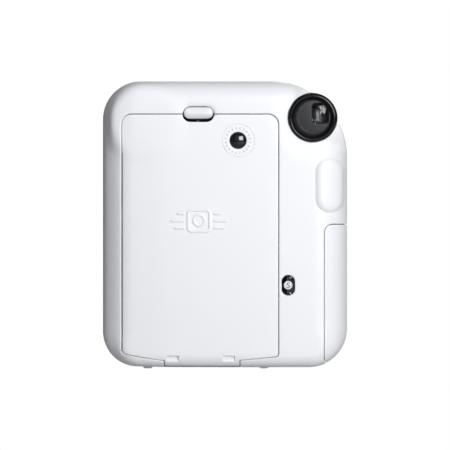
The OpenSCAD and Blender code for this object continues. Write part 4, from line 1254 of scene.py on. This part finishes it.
def lettered(text, size):
    """Flat letter shapes as points and faces about the origin, from the built-in typeface."""
    curve = bpy.data.curves.new("letters", "FONT")
    curve.body, curve.size = text, size
    curve.align_x, curve.align_y = "CENTER", "CENTER"
    curve.extrude = 0.02
    curve.resolution_u = 6
    obj = bpy.data.objects.new("letters", curve)
    bpy.context.scene.collection.objects.link(obj)
    bpy.context.view_layer.update()
    mesh = bpy.data.meshes.new_from_object(obj.evaluated_get(bpy.context.evaluated_depsgraph_get()))
    co = np.empty(len(mesh.vertices) * 3, np.float32)
    mesh.vertices.foreach_get("co", co)
    faces = [tuple(f.vertices) for f in mesh.polygons]
    bpy.data.objects.remove(obj)
    bpy.data.curves.remove(curve)
    bpy.data.meshes.remove(mesh)
    co = co.reshape(-1, 3)
    mid = (co.min(0) + co.max(0)) / 2
    return co - mid, faces


def counter():
    """The film counter: a clear pill window over a black dial with white figures, and the white
    round patch that carries the start letter."""
    rows = []
    for inset, y in ((1.2, -30.75), (0.1, -30.75), (0.0, -30.9), (0.0, -31.95), (0.1, -32.12),
                     (0.4, -32.28), (1.0, -32.4), (1.8, -32.46)):
        rows.append(facing(box_ring(5.5 - 2 * inset, 8.5 - 2 * inset, 2.7 - inset), COUNTER, y))
    obj = make("counter_lens", *lofted(rows))
    piece(obj, "camera_body", clear_window, "counter_window", slot="clear")
    disc = [(1.1, -29.45), (6.9, -29.45), (7.35, -29.4), (7.4, -29.2), (7.35, -28.95),
            (2.3, -28.9), (2.2, -28.8), (1.1, -28.8)]
    obj = make("counter_dial_disc", *spun(disc, DIAL, 120))
    piece(obj, "dial", dial_black, "counter_dial", slot="dial")
    patch = [(0, -29.62), (1.7, -29.62), (1.8, -29.58), (1.8, -29.44), (0, -29.44)]
    patch = spun(patch, COUNTER, 48, closed=False)
    white, black = [patch], []
    for k, text in enumerate(("S", "1", "2", "3", "4", "5", "6", "7", "8", "9")):
        co, faces = lettered(text, 3.3 if k == 0 else 2.6)
        a = k * 2 * math.pi / 10
        c, s = math.cos(a), math.sin(a)
        x, z = 6.3 * -1 + co[:, 0], co[:, 1]
        points = np.stack([DIAL[0] + c * x - s * z, -29.64 - co[:, 2] + (0 if k == 0 else 0.17),
                           DIAL[1] + s * x + c * z], 1)
        (black if k == 0 else white).append((points, faces))
    obj = make("counter_figures", *merged(white))
    piece(obj, "dial", dial_white, slot="dial")
    obj = make("counter_start_letter", *merged(black))
    return piece(obj, "dial", dial_black, slot="dial")


def feet():
    """Four low round feet, domed at the bottom."""
    pads = []
    for x in (-32.8, 16.6):
        for y in (-24, 3):
            pads.append(
                spun([(0, 1.2), (1.5, 1.2), (1.95, 1.0), (2.0, 0.6), (1.75, 0.2), (1.3, 0.03),
                      (0, 0.0)], (x, y), 40, "z", closed=False)
            )
    return piece(make("feet_pads", *merged(pads)), "camera_body", inner_white, "feet", slot="shell")


# ---- the front's parts ----


def lens_parts():
    """The turning ring with its soft scallops, whose radius swings with the angle, and the face of
    the barrel, a stepped turning with a fine groove near its rim."""
    turns = 288
    a = np.arange(turns) * 2 * math.pi / turns
    wave = 0.5 - 0.5 * np.cos(24 * a)
    profile = [(27.3, 18.9, 0), (30.9, 18.9, 0), (31.35, 19.1, 0), (31.5, 19.5, 0),
               (31.5, 20.6, 0), (31.45, 21.2, 0.4), (31.4, 22.0, 1), (31.2, 26, 1),
               (31.0, 29.2, 1), (30.8, 30.4, 0.6), (30.5, 31.2, 0.15), (30.1, 31.7, 0),
               (29.5, 31.95, 0), (28.6, 32.0, 0), (26.6, 31.8, 0), (25.9, 31.6, 0),
               (25.6, 31.3, 0), (25.6, 30.6, 0), (27.3, 30.4, 0)]
    rows = [(r - 0.8 * k * wave, np.full(turns, y)) for r, y, k in profile]
    points = np.concatenate(
        [np.stack([LENS[0] + r * np.cos(a), y, LENS[1] + r * np.sin(a)], 1) for r, y in rows]
    )
    obj = make("lens_ring_grip", points, grid_faces(len(rows), turns, wrap_rows=True))
    piece(obj, "turning_ring", shell_white, "lens_ring", slot="shell")
    face = [(9.2, 31.05), (24.6, 31.05), (25.0, 31.3), (25.0, 32.6), (24.8, 33.05), (24.4, 33.25),
            (23.6, 33.3), (21.4, 33.2), (21.2, 32.9), (20.9, 32.9), (20.7, 33.15), (17.5, 32.9),
            (13.6, 32.55), (13.3, 32.4), (12.9, 32.0), (11.5, 31.9), (10.0, 31.75), (9.4, 31.7),
            (9.2, 31.5)]
    obj = make("barrel_face_cap", *spun(face, LENS, 160))
    return piece(obj, "barrel", bezel_black, "barrel_face", slot="black_plastic")


def shutter_parts():
    """The shutter button with its dished top, its flange and stem, and the ring about it."""
    cap = [(0, 14.15), (1.5, 14.18), (3.4, 14.3), (5.0, 14.48), (5.8, 14.55), (6.25, 14.4),
           (6.5, 14.05), (6.6, 13.5), (6.6, 9.2), (7.6, 9.2), (7.7, 9.1), (7.7, 8.3), (7.6, 8.2),
           (1.6, 8.2), (1.6, 7.25), (1.45, 7.1), (0, 7.1)]
    obj = make("shutter_button_cap", *spun(cap, BUTTON, 96, closed=False))
    piece(obj, "release", chrome, "shutter_button", slot="chrome")
    ring = [(6.9, 11.62), (8.6, 11.62), (8.7, 11.8), (8.7, 12.9), (8.5, 13.3), (8.1, 13.5),
            (7.6, 13.5), (7.2, 13.3), (6.95, 12.8)]
    obj = make("shutter_button_collar", *spun(ring, BUTTON, 96))
    return piece(obj, "camera_body", bezel_black, "shutter_button_ring", slot="black_plastic")


def finder_front():
    """The finder's front bezel: a turned collar round a rounded rectangular recess."""
    ring = [(6.2, 12.0), (6.35, 12.6), (7.9, 12.7), (8.3, 13.3), (8.7, 13.58), (9.1, 13.5),
            (9.5, 13.05), (9.7, 12.4), (9.7, 3.2), (9.2, 2.7), (6.2, 2.7)]
    obj = make("finder_front_collar", *spun(ring, EYE, 120))
    piece(obj, "camera_body", bezel_black, "viewfinder_front_bezel", slot="black_plastic")
    at, tri, away = fill(circle(EYE, 6.5, 80), [box_path(EYE, 9.4, 7.6, 1.4, 0.4)], 0.7, ROWS)
    d = np.linalg.norm(at - EYE, axis=1)
    y = 12.7 - rounding(np.where(d < 6.3, away, FAR), 0.3)
    skin = np.stack([at[:, 0], y, at[:, 1]], 1)
    under = np.stack([at[:, 0], np.full(len(at), 8.2), at[:, 1]], 1)
    obj = walled("finder_front_plate", skin, under, tri)
    return piece(obj, "camera_body", eye_black, slot="black_plastic")


def flash_window():
    """The flash's clear cover: a rounded panel that follows the rolled front, ribbed inside."""
    at, tri, away = fill(box_path(FLASH, 26, 20, 8, 0.7), [], 0.55, ROWS)
    at_d = from_seen(at, FRONT)
    pos, normal = roll(at_d, FRONT)
    up = front_lift(pos) - rounding(away, 0.3)
    ribs = 0.22 * (0.5 - 0.5 * np.cos(2 * math.pi * pos[:, 2] / 1.1))
    skin = pos + normal * up[:, None]
    under = pos - normal * (1.1 + ribs * (away > 1))[:, None]
    obj = walled("flash_window_panel", skin, under, tri)
    return piece(obj, "camera_body", flash_glass, "flash_window", slot="clear")


for build in (rear_cover, film_door, battery_door, front_cover, latch_button, eyepiece, film_window,
              door_emblem, counter, feet, lens_parts, shutter_parts, finder_front, flash_window):
    build()

# ---- finishes of the parts that keep their CAD shape ----

KEPT = {
    steel: "door_hinge_pin pressure_springs latch_spring battery_door_pin battery_contacts "
    "shutter_plate shutter_button_spring case_screws strap_bars rear_roller front_roller film_claw",
    zinc: "drive_motor shutter_solenoid",
    brass: "motor_pinion",
    nylon: "idler_gear",
    reflector: "flash_reflector",
    mirror: "selfie_mirror",
    inner_black: "battery_box film_chamber light_tunnel barrel_guide lens_barrel rear_lens_cell "
    "viewfinder_tube parallax_frame roller_bracket",
    matt_black: "front_lens_cell exit_slot_bezel sensor_windows",
    foam_black: "door_light_seal exit_light_seal",
    blade_black: "shutter_blade_a shutter_blade_b",
    lens_glass: "front_lens rear_lens eyepiece_lens viewfinder_front_lens flash_tube",
    board_green: "main_board flash_board",
    chip_black: "board_parts",
    sleeve: "battery_cells",
    capacitor_black: "flash_capacitor",
}
for material, names in KEPT.items():
    for name in names.split():
        if name in nodes:
            nodes[name].data.materials.clear()
            nodes[name].data.materials.append(material)

# ---- floor, light and camera ----

floor_mesh = bpy.data.meshes.new("floor")
# in metres, and below the feet, since the open film door hangs lower than they stand
FLOOR = -0.02
corners = [(-9, -9, FLOOR), (9, -9, FLOOR), (9, 9, FLOOR), (-9, 9, FLOOR)]
floor_mesh.from_pydata(corners, [], [(0, 1, 2, 3)])
floor = bpy.data.objects.new("floor", floor_mesh)
bpy.context.scene.collection.objects.link(floor)
paper = bpy.data.materials.new("white_paper")
paper.use_nodes = True
t = paper.node_tree
shader = t.nodes["Principled BSDF"]
shader.inputs["Base Color"].default_value = (0.55, 0.55, 0.55, 1)
shader.inputs["Roughness"].default_value = 0.8
glow = node(t, "ShaderNodeEmission", Color=(1, 1, 1, 1), Strength=1.0)
seen = node(t, "ShaderNodeLightPath")
mix = node(t, "ShaderNodeMixShader")
t.links.new(seen.outputs["Is Camera Ray"], mix.inputs[0])
t.links.new(shader.outputs[0], mix.inputs[1])
t.links.new(glow.outputs[0], mix.inputs[2])
t.links.new(mix.outputs[0], t.nodes["Material Output"].inputs["Surface"])
floor_mesh.materials.append(paper)

world = bpy.data.worlds.new("studio")
bpy.context.scene.world = world
world.use_nodes = True
t = world.node_tree
t.nodes.clear()
dim = node(t, "ShaderNodeBackground", Color=(0.95, 0.97, 1, 1), Strength=0.15)
white = node(t, "ShaderNodeBackground", Color=(1, 1, 1, 1), Strength=1.0)
seen = node(t, "ShaderNodeLightPath")
mix = node(t, "ShaderNodeMixShader")
end = node(t, "ShaderNodeOutputWorld")
t.links.new(seen.outputs["Is Camera Ray"], mix.inputs[0])
t.links.new(dim.outputs[0], mix.inputs[1])
t.links.new(white.outputs[0], mix.inputs[2])
t.links.new(mix.outputs[0], end.inputs["Surface"])


def softbox(name, place, aim, size, power, tint=(1, 1, 1)):
    """A square area light at a place, looking at a point of the camera."""
    light = bpy.data.lights.new(name, "AREA")
    light.shape, light.size, light.energy, light.color = "SQUARE", size, power, tint
    obj = bpy.data.objects.new(name, light)
    bpy.context.scene.collection.objects.link(obj)
    obj.location = place
    way = np.asarray(place) - np.asarray(aim)
    obj.rotation_euler = (
        math.acos(way[2] / np.linalg.norm(way)), 0.0, math.atan2(way[1], way[0]) + QUARTER
    )
    return obj


MID = (0.0, 0.0, 0.06)
softbox("key", (0.3, -0.74, 0.32), MID, 0.36, 5.9, (0.965, 0.975, 1.0))
softbox("fill", (0.0, -1.4, 0.5), MID, 0.9, 1.0)
softbox("overhead", (0.0, -0.35, 1.2), MID, 0.7, 0.45)
softbox("front_light", (0.5, 1.4, 0.7), MID, 0.9, 7.0)

# in metres behind the middle: the place the view is taken from, and the depth where the rolled
# edge ends in the side walls, with the width seen at that depth
AWAY, RIM_BACK, SEEN_WIDTH = 2.4, 0.018, 0.1918
SENSOR_WIDTH = 36.0
camera = bpy.data.objects.new("view", bpy.data.cameras.new("view"))
bpy.context.scene.collection.objects.link(camera)
camera.location = (0.0, -AWAY, 0.06095)
camera.rotation_euler = (QUARTER, 0, 0)
camera.data.sensor_width = SENSOR_WIDTH
camera.data.lens = SENSOR_WIDTH * (AWAY - RIM_BACK) / SEEN_WIDTH
bpy.context.scene.camera = camera
bpy.context.scene.view_settings.view_transform = "Standard"
